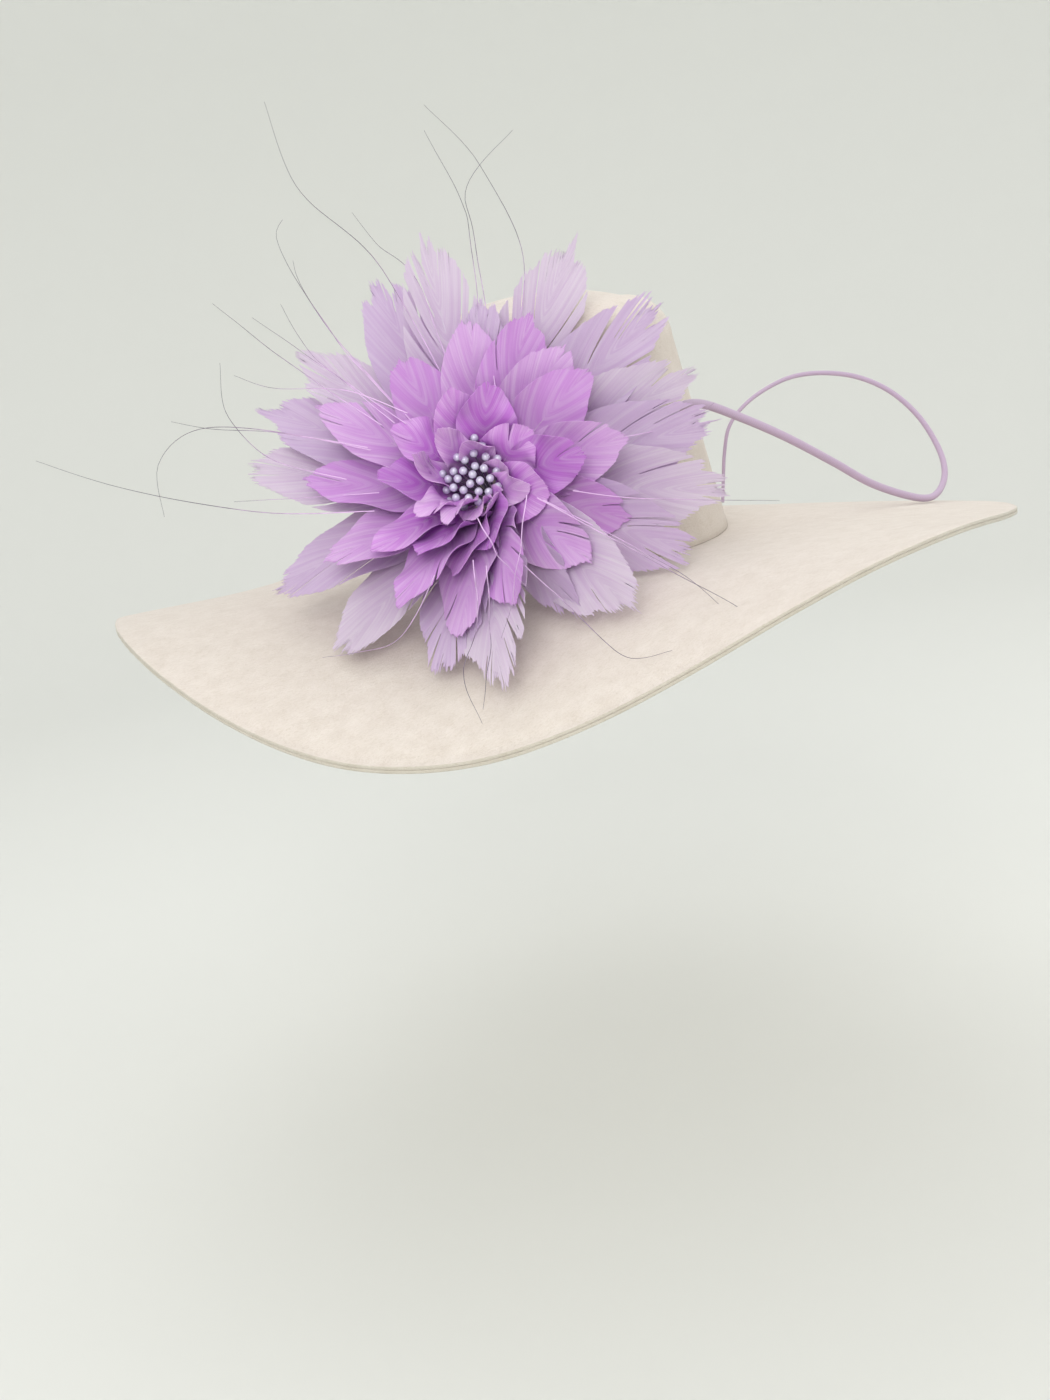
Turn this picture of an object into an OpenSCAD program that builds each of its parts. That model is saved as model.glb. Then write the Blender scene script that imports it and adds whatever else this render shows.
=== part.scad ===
// Wide-brimmed felt hat with a feather flower, a looped quill and fine feather filaments.
// Origin: centre of the head opening. +Z runs up the crown, -Y is the wearer's front.

/* [Crown] */
// Width of the crown across the head opening
crown_width = 174; // [160:1:200]
// Length of the crown from front to back at the head opening
crown_length = 208; // [190:1:236]
// Height of the crown up to its shoulder
crown_height = 129; // [90:1:160]
// Lean of the crown's side, in degrees
crown_taper = 9.8; // [4:0.1:12]
// Radius of the crown's shoulder
shoulder_radius = 25; // [14:1:34]
// Rise of the crown's top above its shoulder
top_dome = 7.8; // [2:0.1:14]
// Thickness of the crown's felt
crown_felt = 2.2; // [1.4:0.1:3]

/* [Brim] */
// Radius of the brim's rim
brim_radius = 248; // [200:1:300]
// Distance that the rim's outline is set back from the crown's centre
brim_set_back = 11; // [0:1:16]
// Stretch of the rim along the line from the wearer's front left to the back right
brim_skew = 3; // [0:1:10]
// Depth of the brim's wave, as a share of the blocked wave
brim_wave = 1; // [0.6:0.05:1.3]
// Thickness of each of the brim's two felts
brim_felt = 1.6; // [1.3:0.1:2.4]
// Height of the collar that stands inside the crown
collar_height = 12; // [6:1:20]
// Diameter of the wire between the two felts
wire_d = 1.1; // [0.8:0.1:1.4]
// Distance from the rim to the wire's centre
wire_inset = 5; // [3:0.5:10]
// Outer diameter of the sleeve that joins the wire's ends
joiner_d = 2.1; // [1.9:0.1:2.4]
// Length of that sleeve
joiner_length = 12; // [8:1:18]

/* [Head ribbon] */
// Height of the ribbon inside the crown
ribbon_height = 25; // [18:1:36]
// Thickness of the ribbon
ribbon_thickness = 0.6; // [0.4:0.1:1]
// Length of one running stitch
stitch_length = 4; // [2:0.5:6]
// Diameter of the sewing thread
thread_d = 0.6; // [0.4:0.1:0.9]

/* [Flower] */
// Bearing of the flower's base on the crown, in degrees from +X
flower_bearing = 223; // [200:1:245]
// Height of the flower's base above the head opening
flower_height = 37; // [32:1:46]
// Bearing that the flower faces, in degrees from +X
flower_facing = 232; // [215:1:245]
// Upward tilt of the flower, in degrees
flower_tilt = 24; // [12:1:34]
// Diameter of the felt base
base_d = 56; // [40:1:60]
// Thickness of the felt base
base_thickness = 2.4; // [1.5:0.1:4]
// Distance from the crown to the point that the feathers spring from
stem_length = 14; // [12:0.5:20]
// Diameter of the thread binding
binding_d = 10; // [8:0.5:12]
// Size of the whole flower, as a share
flower_spread = 1; // [0.8:0.05:1.25]
// Width of an outer feather
outer_width = 43; // [30:1:52]
// Width of a middle feather
middle_width = 34; // [24:1:42]
// Width of an inner petal
inner_width = 29; // [18:1:32]
// Width of a curled centre petal
centre_width = 17; // [12:1:22]
// Thickness of a feather's vane
vane_thickness = 0.8; // [0.6:0.1:1.2]

/* [Stamens] */
// Diameter of a pearl
pearl_d = 4; // [3:0.1:4.6]
// Number of pearls in the bunch
pearl_count = 34; // [20:1:40]
// Height of the bunch above the point that the feathers spring from
stamen_height = 38; // [30:1:46]

/* [Quill] */
// Diameter of the wound quill at its thick end
quill_thick_d = 5.2; // [4:0.1:6.4]
// Diameter of the wound quill at its thin end
quill_thin_d = 2; // [1.8:0.1:3]
// Thickness of the thread winding
winding = 0.45; // [0.3:0.05:0.6]

/* [Filaments] */
// Diameter of a filament at its root
filament_d = 0.7; // [0.5:0.1:1.2]

/* [Hidden] */
// Directions that the brim, the crown and the wire are drawn at
around = 72;
step_angle = 360 / around;
// Air left between pieces that lie against each other
sewn_gap = 0.1;
ribbon_gap = 0.3;
// Smallest half-width of a drawn tip
blunt_tip = 1.2;
// Distance of an outer or a middle feather's root from the flower's axis
root_reach = 8;
// Least height of a feather's tip, and of a filament, over the brim's face
tip_clearance = 7;
filament_clearance = 1.5;
// Rows from a feather's root to its tip, and the offsets drawn across it
vane_rows = 6;
vane_across = [-1, -0.5, 0, 0.5, 1];

// Each feather: [turn round the flower in degrees, reach, rise towards the viewer]
OUTER = [
    [99, 123, 28], [85, 90, 29], [67, 129, 13], [43, 126, 3], [26, 113, -3], [13, 113, -7],
    [-4, 116, -9], [-22, 106, 5], [-44, 106, 48], [-56, 85, 37], [-79, 108, 75], [-96, 95, 57],
    [-129, 103, 40], [-159, 114, 23], [169, 118, 20], [154, 122, 18], [138, 121, 17], [114, 120, 21]
];
MIDDLE = [
    [87, 77, 36], [68, 84, 29], [52, 78, 27], [39, 74, 27], [10, 75, 27], [-18, 74, 13], [-41, 75, 46],
    [-67, 76, 69], [-90, 82, 59], [-112, 72, 64], [-152, 79, 42], [176, 82, 36], [150, 85, 40],
    [118, 67, 42]
];
INNER = [
    [98, 40, 48], [72, 44, 44], [30, 35, 38], [6, 57, 35], [-23, 42, 44], [-66, 44, 50], [-90, 52, 48],
    [-113, 48, 53], [-140, 58, 50], [-182, 44, 44], [141, 43, 46]
];
CENTRE = [
    [118, 23, 55], [70, 20, 51], [7, 21, 39], [-24, 30, 45], [-54, 29, 49], [-78, 27, 51],
    [-104, 25, 61], [-137, 28, 56], [171, 28, 53]
];

// Route of the quill, from the flower's binding out over the brim and back to the crown:
// [right, back, up], across from the flower's centre and up from the brim's face
QUILL = [
    [8, 1, 36], [17, -6, 43], [31, -13, 52], [51, -20, 59], [74, -24, 65], [96, -24, 70],
    [113, -23, 70], [136, -21, 60], [166, -19, 45], [197, -17, 28], [222, -16, 14], [248, -15, 5],
    [265, -13, 3], [277, -9, 8], [286, -3, 18], [290, 6, 32], [287, 17, 50], [277, 28, 65],
    [262, 38, 74], [243, 46, 77], [223, 50, 75], [205, 53, 68], [190, 54, 59], [180, 55, 48],
    [175, 55, 33], [171, 53, 18], [167, 50, 6]
];
// Shares of the way along the quill at which its thickness is set, and the thickness there
QUILL_TAPER = [[0, 1], [0.42, 0.72], [0.6, 0.42], [0.85, 0.1], [1, 0]];

// Routes of the filaments, root to tip: [turn, reach, rise] in the flower's own frame
FILAMENTS = [
    [[100, 40, 30], [110, 119, 36], [117, 176, 44], [115, 225, 47]],
    [[60, 35, 26], [76, 114, 19], [87, 164, 22], [95, 199, 27]],
    [[80, 40, 28], [88, 120, 28], [90, 143, 30], [95, 181, 34]],
    [[70, 40, 30], [87, 120, 27], [89, 150, 28], [82, 183, 18]],
    [[132, 40, 40], [130, 87, 41], [128, 124, 44], [125, 158, 46], [122, 165, 46]],
    [[132, 50, 44], [130, 92, 47], [127, 128, 50], [125, 141, 50]],
    [[96, 40, 30], [103, 107, 31], [109, 133, 33], [111, 154, 34]],
    [[145, 50, 42], [143, 105, 44], [141, 163, 45]],
    [[136, 40, 42], [138, 79, 44], [139, 138, 48]],
    [[140, 45, 42], [138, 85, 42], [137, 109, 39], [133, 136, 39]],
    [[130, 40, 48], [141, 72, 51], [151, 104, 53], [152, 126, 55]],
    [[176, 60, 42], [169, 100, 43], [160, 128, 44], [150, 143, 44]],
    [[160, 50, 42], [161, 98, 41], [163, 138, 38], [163, 161, 38]],
    [[160, 50, 46], [162, 110, 46], [165, 143, 47], [172, 159, 46], [181, 157, 41]],
    [[196, 48, 42], [184, 105, 44], [176, 176, 48], [172, 224, 52]],
    [[184, 45, 38], [181, 71, 36], [178, 125, 29]],
    [[-14, 50, 32], [-12, 80, 22], [-7, 142, -8]],
    [[-28, 40, 50], [-32, 107, 49], [-33, 154, 50], [-35, 169, 51]],
    [[-27, 42, 46], [-31, 110, 43], [-34, 146, 42]],
    [[-60, 60, 66], [-55, 97, 66], [-53, 125, 71], [-46, 138, 70]],
    [[-80, 50, 68], [-81, 84, 82], [-85, 104, 94], [-81, 130, 107]],
    [[-74, 55, 70], [-78, 90, 82], [-81, 123, 101]],
    [[-100, 55, 68], [-109, 87, 69], [-129, 109, 58]],
    [[15, 60, 16], [15, 100, -6], [19, 119, -17]],
    [[-32, 40, 64], [-68, 76, 78], [-75, 92, 83]],
    [[-70, 31, 64], [-66, 56, 73], [-62, 76, 77]]
];

function numbered(name, count) = [for (i = [1:count]) str(name, i < 10 ? "_0" : "_", i)];

// ---- Surfaces drawn through rings of points ----

// Two triangles for each side of a band between two rings of n points, split along one diagonal or the other
function band(i, j, n, mirrored) = [
    for (k = [0:n - 1])
        let (next = (k + 1) % n, a = i * n + k, b = i * n + next, c = j * n + k, d = j * n + next)
            each mirrored ? [[a, c, b], [c, d, b]] : [[a, d, b], [a, c, d]]
];

// A flat end cap that pairs the points from both sides of a ring
function cap(first, n, flip) = [
    for (k = [0:n / 2 - 2])
        let (a = first + k, b = first + k + 1, c = first + n - 2 - k, d = first + n - 1 - k)
            each flip ? concat([[a, c, b]], d == c ? [] : [[a, d, c]]) : concat([[a, b, c]], d == c ? [] : [[a, c, d]])
];

// A closed solid through rings, which either has two end caps or joins its last ring to its first
module loft(rings, joined = false, mirrored = false) {
    count = len(rings);
    n = len(rings[0]);
    sides = [for (i = [0:count - (joined ? 1 : 2)]) each band(i, (i + 1) % count, n, mirrored)];
    ends = joined ? [] : concat(cap(0, n, false), cap((count - 1) * n, n, true));
    polyhedron(points = [for (ring = rings) each ring], faces = concat(sides, ends));
}

// ---- Curves ----

function unit(v) = v / norm(v);
function mix(a, b, t) = a + (b - a) * t;
function bezier(a, b, c, t) = mix(mix(a, b, t), mix(b, c, t), t);

// A smooth curve through the points of a route, with some steps to each point
function through(p, i, t) =
    let (
        last = len(p) - 1,
        a = p[max(i - 1, 0)],
        b = p[i],
        c = p[min(i + 1, last)],
        d = p[min(i + 2, last)]
    )
    0.5 * (2 * b + (c - a) * t + (2 * a - 5 * b + 4 * c - d) * t * t + (3 * b - a - 3 * c + d) * t * t * t);
function smooth_route(p, steps) = concat(
    [for (i = [0:len(p) - 2], s = [0:steps - 1]) through(p, i, s / steps)],
    [p[len(p) - 1]]
);
function heading(p, i) = unit(p[min(i + 1, len(p) - 1)] - p[max(i - 1, 0)]);

// A ring of points round a route's point, turned to the route's heading
function ring_at(centre, dir, r, sides) =
    let (
        side = unit(cross(dir, abs(dir.z) > 0.95 ? [1, 0, 0] : [0, 0, 1])),
        up = cross(side, dir)
    )
    [for (k = [0:sides - 1]) centre + r * (side * cos(360 * k / sides) + up * sin(360 * k / sides))];

// ---- Crown and brim ----

// Distance from the axis to an oval with half-axes a and b, at an angle
function oval(a, b, angle) = 1 / sqrt(pow(cos(angle) / a, 2) + pow(sin(angle) / b, 2));
function oval_ring(inset, z) = [
    for (k = [0:around - 1])
        let (angle = step_angle * (k + 0.5), r = oval(crown_width / 2 - inset, crown_length / 2 - inset, angle))
            [r * cos(angle), r * sin(angle), z]
];

crown_side_z = crown_height - shoulder_radius;
crown_lean = tan(crown_taper);

// Rings of the crown's outer skin, or of its inner skin when a wall is given
function crown_rings(wall) = concat(
    [
        oval_ring(wall - crown_lean * (wall > 0 ? 1 : 0), wall > 0 ? -1 : sewn_gap),
        oval_ring(wall + crown_lean * crown_side_z, crown_side_z)
    ],
    [
        for (a = [18:18:90])
            oval_ring(
                wall + crown_lean * crown_side_z + (shoulder_radius - wall) * (1 - cos(a)),
                crown_side_z + (shoulder_radius - wall) * sin(a)
            )
    ],
    [
        for (share = [0.35, 0.7, 0.97])
            let (shoulder_inset = crown_lean * crown_side_z + shoulder_radius)
                oval_ring(
                    mix(shoulder_inset, crown_width / 2, share),
                    crown_height - wall + top_dome * (1 - pow(1 - share, 2))
                )
    ]
);

// Height of the blocked wave at the rim, which dips at the front right and lifts at the front left
function rim_wave(angle) = brim_wave * (
    -20.1
    + 1.3 * cos(angle) - 2.8 * sin(angle)
    - 2.5 * cos(2 * angle) - 14.8 * sin(2 * angle)
    - 11.4 * cos(3 * angle) + 4.2 * sin(3 * angle)
    + 7.1 * cos(4 * angle) - 2 * sin(4 * angle)
);
function rim(angle) = brim_radius + brim_set_back * sin(angle) - brim_skew * sin(2 * angle);
function brim_rise(share) = 0.55 * share + 0.45 * share * share;
function crown_edge(angle) = oval(crown_width / 2, crown_length / 2, angle);
function brim_z(r, angle) =
    let (share = (r - crown_edge(angle)) / (rim(angle) - crown_edge(angle)))
        rim_wave(angle) * brim_rise(max(share, 0));

collar_outer = crown_felt + sewn_gap;
collar_inner = collar_outer + brim_felt;
function wire_r(angle) = rim(angle) - wire_inset;
groove_half = wire_d / 2 + 0.1;

// A closed section through a felt, as [radius, height] pairs turned into points
function section(pairs, angle) = [for (p = pairs) [p[0] * cos(angle), p[0] * sin(angle), p[1]]];
function brim_row(share, angle) = mix(crown_edge(angle), rim(angle), share);

// The wire's groove in a felt face that lies at height drop, cut to the height depth away from it
function groove(angle, drop, depth) =
    let (
        out = wire_r(angle) + groove_half,
        in = wire_r(angle) - groove_half,
        floor_z = brim_z(wire_r(angle), angle) + drop + depth
    )
    [[out, brim_z(out, angle) + drop], [out, floor_z], [in, floor_z], [in, brim_z(in, angle) + drop]];
function rows_out(angle, drop) = [
    for (share = [0, 0.25, 0.5, 0.75]) [brim_row(share, angle), brim_z(brim_row(share, angle), angle) + drop]
];
function rows_in(angle, drop) = [
    for (share = [0.75, 0.5, 0.25, 0]) [brim_row(share, angle), brim_z(brim_row(share, angle), angle) + drop]
];

function upper_section(angle) =
    let (
        inner = oval(crown_width / 2 - collar_inner, crown_length / 2 - collar_inner, angle),
        outer = oval(crown_width / 2 - collar_outer, crown_length / 2 - collar_outer, angle),
        lean = crown_lean * collar_height,
        rim_z = rim_wave(angle)
    )
    section(concat(
        [[inner - lean, collar_height], [outer - lean, collar_height], [outer, 0]],
        rows_out(angle, 0),
        [[rim(angle), rim_z], [rim(angle), rim_z - brim_felt]],
        groove(angle, -brim_felt, groove_half),
        rows_in(angle, -brim_felt),
        [[inner, -brim_felt]]
    ), angle);

function lower_section(angle) =
    let (
        inner = oval(crown_width / 2 - collar_inner, crown_length / 2 - collar_inner, angle),
        top = -brim_felt - sewn_gap,
        bottom = top - brim_felt,
        rim_z = rim_wave(angle),
        cut = groove(angle, top, -groove_half)
    )
    section(concat(
        [[inner, top]],
        rows_out(angle, top),
        [cut[3], cut[2], cut[1], cut[0]],
        [[rim(angle), rim_z + top], [rim(angle), rim_z + bottom]],
        rows_in(angle, bottom),
        [[inner, bottom]]
    ), angle);

wire_z = -brim_felt - sewn_gap / 2;
function wire_point(angle) =
    let (r = wire_r(angle))
        [r * cos(angle), r * sin(angle), brim_z(r, angle) + wire_z];
// The wire's ends meet halfway between two of its points, at the back
join_from = wire_point(90 - step_angle / 2);
join_to = wire_point(90 + step_angle / 2);
join_centre = (join_from + join_to) / 2;
join_dir = unit(join_to - join_from);

module along(centre, dir) {
    translate(centre)
        rotate([0, acos(dir.z), atan2(dir.y, dir.x)])
            children();
}

module joiner_rod(d, length) {
    along(join_centre, join_dir)
        cylinder(h = length, d = d, center = true, $fn = 32);
}

module crown() {
    color("#E9E0D4")
        difference() {
            loft(crown_rings(0));
            loft(crown_rings(crown_felt));
        }
}

module brim_upper() {
    color("#E9E0D4")
        difference() {
            loft([for (k = [0:around - 1]) upper_section(step_angle * (k + 0.5))], joined = true);
            joiner_rod(joiner_d + 0.1, joiner_length + 0.6);
        }
}

module brim_lower() {
    color("#DED5C7")
        difference() {
            loft([for (k = [0:around - 1]) lower_section(step_angle * (k + 0.5))], joined = true, mirrored = true);
            joiner_rod(joiner_d + 0.1, joiner_length + 0.6);
        }
}

module brim_wire() {
    ends_gap = 0.3;
    route = concat(
        [join_centre + join_dir * ends_gap],
        [for (k = [0:around - 1]) wire_point(90 + step_angle * (k + 0.5))],
        [join_centre - join_dir * ends_gap]
    );
    color("#B8B8B8")
        loft([for (i = [0:len(route) - 1]) ring_at(route[i], heading(route, i), wire_d / 2, 8)]);
}

module wire_joiner() {
    color("#9C9C9C")
        difference() {
            joiner_rod(joiner_d, joiner_length);
            joiner_rod(wire_d + 0.1, joiner_length + 2);
        }
}

// ---- Head ribbon ----

ribbon_outer = collar_inner + ribbon_gap;
ribbon_inner = ribbon_outer + ribbon_thickness;
ribbon_low = -1;

module head_ribbon() {
    high = ribbon_low + ribbon_height;
    lean = crown_lean * ribbon_height;
    color("#EDE6DA")
        loft([
            oval_ring(ribbon_outer, ribbon_low),
            oval_ring(ribbon_inner, ribbon_low),
            oval_ring(ribbon_inner + lean, high),
            oval_ring(ribbon_outer + lean, high)
        ], joined = true);
}

module head_stitches() {
    z = 5;
    inset = ribbon_inner + crown_lean * (z - ribbon_low) + thread_d / 2 + sewn_gap;
    color("#F3EEE4")
        for (k = [0:2:around - 1])
            let (
                angle = step_angle * k,
                r = oval(crown_width / 2 - inset, crown_length / 2 - inset, angle),
                ahead = oval(crown_width / 2 - inset, crown_length / 2 - inset, angle + 1),
                dir = unit([ahead * cos(angle + 1) - r * cos(angle), ahead * sin(angle + 1) - r * sin(angle), 0])
            )
                along([r * cos(angle), r * sin(angle), z], dir)
                    cylinder(h = stitch_length, d = thread_d, center = true, $fn = 16);
}

// ---- Flower ----

// A point on the crown's side, out from its felt, and the direction straight out there
function crown_point(bearing, z, out) =
    let (r = crown_edge(bearing) - crown_lean * z + out / cos(crown_taper))
        [r * cos(bearing), r * sin(bearing), z];
function crown_normal(bearing) =
    let (flat = unit([cos(bearing) / pow(crown_width / 2, 2), sin(bearing) / pow(crown_length / 2, 2), 0]))
        unit([flat.x, flat.y, tan(crown_taper)]);

facing = [
    cos(flower_facing) * cos(flower_tilt), sin(flower_facing) * cos(flower_tilt), sin(flower_tilt)
];
rightward = [-sin(flower_facing), cos(flower_facing), 0];
upward = cross(facing, rightward);
flower_centre = crown_point(flower_bearing, flower_height, 0) + facing * stem_length;

// A point given round the flower's axis, as a turn, a reach from the axis and a rise along it
function flower_point(turn, reach, rise) =
    flower_centre + flower_spread * (reach * (rightward * cos(turn) + upward * sin(turn)) + rise * facing);

// A place in the flower, lifted where it would come nearer to the brim's face than some clearance
function rested(place, clearance) =
    let (
        p = flower_point(place[0], place[1], place[2]),
        low = max(0, clearance - p.z + brim_z(norm([p.x, p.y]), atan2(p.y, p.x)))
    )
        [place[0], place[1] + low * upward.z * sin(place[0]), place[2] + low * facing.z];

// Half-width of a vane along its length, as a share of the widest place
function vane_half(t) = pow(sin(180 * pow(t, 1.3)), 0.6);

// One feather as a curved leaf with a cupped section
module feather(place, width, root, bulge, lean, cupping) {
    turn = place[0];
    reach = place[1];
    rise = place[2];
    start = [root[0], root[1]];
    middle = [reach * 0.45, rise * 0.5 + bulge];
    finish = [reach, rise];
    out = rightward * cos(turn) + upward * sin(turn);
    across = upward * cos(turn) - rightward * sin(turn);
    rings = [
        for (i = [0:vane_rows])
            let (
                t = i / vane_rows,
                p = bezier(start, middle, finish, t),
                d = unit(mix(middle - start, finish - middle, t)),
                face = -d[1] * out + d[0] * facing,
                side = across * cos(lean) + face * sin(lean),
                lift = face * cos(lean) - across * sin(lean),
                half = max(width / 2 * (t > 0 && t < 1 ? vane_half(t) : 0), blunt_tip),
                centre = flower_centre + flower_spread * (p[0] * out + p[1] * facing)
            )
            concat(
                [for (y = vane_across) centre + side * y * half + lift * cupping * half * y * y],
                [
                    for (k = [len(vane_across) - 1:-1:0])
                        let (y = vane_across[k])
                            centre + side * y * half + lift * (cupping * half * y * y - vane_thickness)
                ]
            )
    ];
    loft(rings);
}

// Every feather leans to one side, so that neighbours lie over each other like shingles
module outer_feather(i) {
    narrow = i == 1 || i == 9 ? 0.7 : 1;
    color(i % 2 == 0 ? "#D0BEDD" : "#C9B0DE")
        feather(rested(OUTER[i], tip_clearance), outer_width * narrow, [root_reach, -2], 12 + 2 * (i % 2), 22, 0.1);
}

module middle_feather(i) {
    color(i % 2 == 0 ? "#C98BD6" : "#C07FD0")
        feather(MIDDLE[i], middle_width, [root_reach, 5], 12, 26, 0.14);
}

module inner_petal(i) {
    color(i % 2 == 0 ? "#B45AC8" : "#A648BC")
        feather(INNER[i], inner_width, [root_reach + 4, 12 + 2 * (i % 3)], 12, 27 + 4 * sin(i * 83), 0.2);
}

module centre_petals() {
    color("#D79BE0")
        for (i = [0:len(CENTRE) - 1])
            feather(CENTRE[i], centre_width, [root_reach + 2, 20], 6, 26, 0.3);
}

module flower_base() {
    rings = 4;
    // Angle and height on the crown of a point of the disc, from its distance and direction
    function disc_point(r, a, out) =
        crown_point(
            flower_bearing + r * cos(a) * 360 / (PI * (crown_width + crown_length) / 2),
            flower_height + r * sin(a),
            out
        );
    function disc_ring(r, out) = [for (k = [0:23]) disc_point(r, 15 * k, out)];
    color("#D9CFC2")
        loft(concat(
            [for (i = [1:rings]) disc_ring(base_d / 2 * i / rings, sewn_gap)],
            [for (i = [rings:-1:1]) disc_ring(base_d / 2 * i / rings, sewn_gap + base_thickness)]
        ));
}

module flower_binding() {
    foot_out = sewn_gap * 2 + base_thickness;
    foot = crown_point(flower_bearing, flower_height, foot_out);
    normal = crown_normal(flower_bearing);
    color("#C4A5CC")
        loft([
            ring_at(foot + normal * 0.8, normal, binding_d * 0.35, 16),
            ring_at(mix(foot, flower_centre, 0.5), facing, binding_d / 2, 16),
            ring_at(flower_centre + facing * 1.5, facing, binding_d / 2, 16)
        ]);
}

module base_stitches() {
    count = 10;
    normal_out = sewn_gap * 2 + base_thickness + thread_d / 2;
    color("#F3EEE4")
        for (k = [0:count - 1])
            let (
                a = 360 * (k + 0.5) / count,
                bearing_step = 360 / (PI * (crown_width + crown_length) / 2),
                reach = base_d / 2 - 3,
                from = crown_point(flower_bearing + (reach - 1.5) * cos(a) * bearing_step,
                    flower_height + (reach - 1.5) * sin(a), normal_out),
                to = crown_point(flower_bearing + (reach + 1.5) * cos(a) * bearing_step,
                    flower_height + (reach + 1.5) * sin(a), normal_out)
            )
                along((from + to) / 2, unit(to - from))
                    cylinder(h = norm(to - from), d = thread_d, center = true, $fn = 16);
}

// ---- Stamens ----

// Pearls lie on a sunflower spiral, and those at the top stand looser and taller
golden_turn = 137.508;
function stamen_at(i) =
    let (
        r = pearl_d * 0.66 * sqrt(i + 0.5),
        turn = golden_turn * i,
        x = r * cos(turn),
        y = r * sin(turn),
        loose = max(y - 3, 0)
    )
    [x * 1.02, y + 0.35 * loose, stamen_height - 0.03 * r * r + 0.3 * loose + 0.8 * sin(i * 97)];
function in_flower(p) = flower_centre + p.x * rightward + p.y * upward + p.z * facing;
function stamen_foot(i) =
    let (p = stamen_at(i))
        [p.x * 0.26, p.y * 0.26, 2.2];

module stamen_pearls() {
    color("#C9C6E0")
        for (i = [0:pearl_count - 1])
            translate(in_flower(stamen_at(i)))
                sphere(d = pearl_d, $fn = 32);
}

module stamen_threads() {
    color("#8E7FA8")
        for (i = [0:pearl_count - 1])
            let (
                from = in_flower(stamen_foot(i)),
                head = in_flower(stamen_at(i)),
                dir = unit(head - from),
                to = head - dir * (pearl_d / 2 + 0.05)
            )
                along((from + to) / 2, dir)
                    cylinder(h = norm(to - from), d = thread_d, center = true, $fn = 16);
}

// ---- Quill ----

function quill_point(p) =
    let (x = flower_centre.x + p[0], y = flower_centre.y + p[1])
        [x, y, brim_z(norm([x, y]), atan2(y, x)) + p[2]];
quill_route = smooth_route([for (p = QUILL) quill_point(p)], 2);
quill_last = len(quill_route) - 1;
function quill_r(i) = mix(quill_thin_d, quill_thick_d, lookup(i / quill_last, QUILL_TAPER)) / 2;
function quill_ring(i, r) = ring_at(quill_route[i], heading(quill_route, i), r, 8);

module quill_core() {
    color("#CBB9C9")
        loft([for (i = [0:quill_last]) quill_ring(i, quill_r(i) - winding - sewn_gap)]);
}

module quill_wrap() {
    color("#CDB0D4")
        loft(concat(
            [for (i = [0:quill_last]) quill_ring(i, quill_r(i))],
            [for (i = [quill_last:-1:0]) quill_ring(i, quill_r(i) - winding)]
        ), joined = true);
}

module quill_tie(i) {
    ring_r = quill_r(i) + thread_d / 2 + 0.05;
    along(quill_route[i], heading(quill_route, i))
        rotate_extrude($fn = 48)
            translate([ring_r, 0])
                circle(d = thread_d, $fn = 16);
}

module quill_ties() {
    color("#B293B8")
        for (i = [1, 2, 3, quill_last - 1])
            quill_tie(i);
}

// ---- Filaments ----

module filament(route) {
    places = [for (p = route) rested(p, filament_clearance)];
    points = smooth_route([for (p = places) flower_point(p[0], p[1], p[2])], 3);
    last = len(points) - 1;
    loft([
        for (i = [0:last])
            ring_at(points[i], heading(points, i), filament_d / 2 * (1 - 0.6 * i / last), 4)
    ]);
}

module filaments() {
    color("#6F6474")
        for (route = FILAMENTS)
            filament(route);
}

// ---- Each node ----

crown();
brim_upper();
brim_lower();
brim_wire();
wire_joiner();
head_ribbon();
head_stitches();
flower_base();
flower_binding();
base_stitches();
stamen_threads();
stamen_pearls();
quill_core();
quill_wrap();
quill_ties();
filaments();
centre_petals();
for (i = [0:len(OUTER) - 1])
    outer_feather(i);
for (i = [0:len(MIDDLE) - 1])
    middle_feather(i);
for (i = [0:len(INNER) - 1])
    inner_petal(i);
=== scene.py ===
"""Wide felt hat with a feather flower, a looped quill and pearl stamens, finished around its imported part."""

import math
import random
from collections import namedtuple

import bmesh
import bpy
from bpy.props import FloatProperty, FloatVectorProperty, IntProperty, PointerProperty
from mathutils import Matrix, Vector, noise


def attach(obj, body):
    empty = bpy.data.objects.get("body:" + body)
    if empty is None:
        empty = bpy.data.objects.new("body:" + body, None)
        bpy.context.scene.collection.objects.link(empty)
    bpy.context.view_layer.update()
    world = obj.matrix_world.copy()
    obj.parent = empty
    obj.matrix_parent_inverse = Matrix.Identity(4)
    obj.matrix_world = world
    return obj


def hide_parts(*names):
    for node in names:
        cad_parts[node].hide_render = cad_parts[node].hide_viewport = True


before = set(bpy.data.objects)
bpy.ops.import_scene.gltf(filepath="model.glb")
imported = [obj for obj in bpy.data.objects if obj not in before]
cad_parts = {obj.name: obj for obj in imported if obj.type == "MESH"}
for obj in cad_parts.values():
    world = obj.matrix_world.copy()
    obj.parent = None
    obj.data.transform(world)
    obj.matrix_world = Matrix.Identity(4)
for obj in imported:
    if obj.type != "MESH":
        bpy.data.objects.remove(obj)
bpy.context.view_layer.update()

bl_info = {
    "name": "Felt hat with feather flower",
    "version": (1, 0, 0),
    "blender": (4, 5, 0),
    "location": "3D View > Sidebar > Felt Hat",
    "description": "Builds the felts, feathers, quill, stamens and stage of a wide-brimmed hat",
    "category": "Add Mesh",
}

MM = 0.001

# ---- Sizes in millimetres, as the part's solids have them ----

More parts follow.
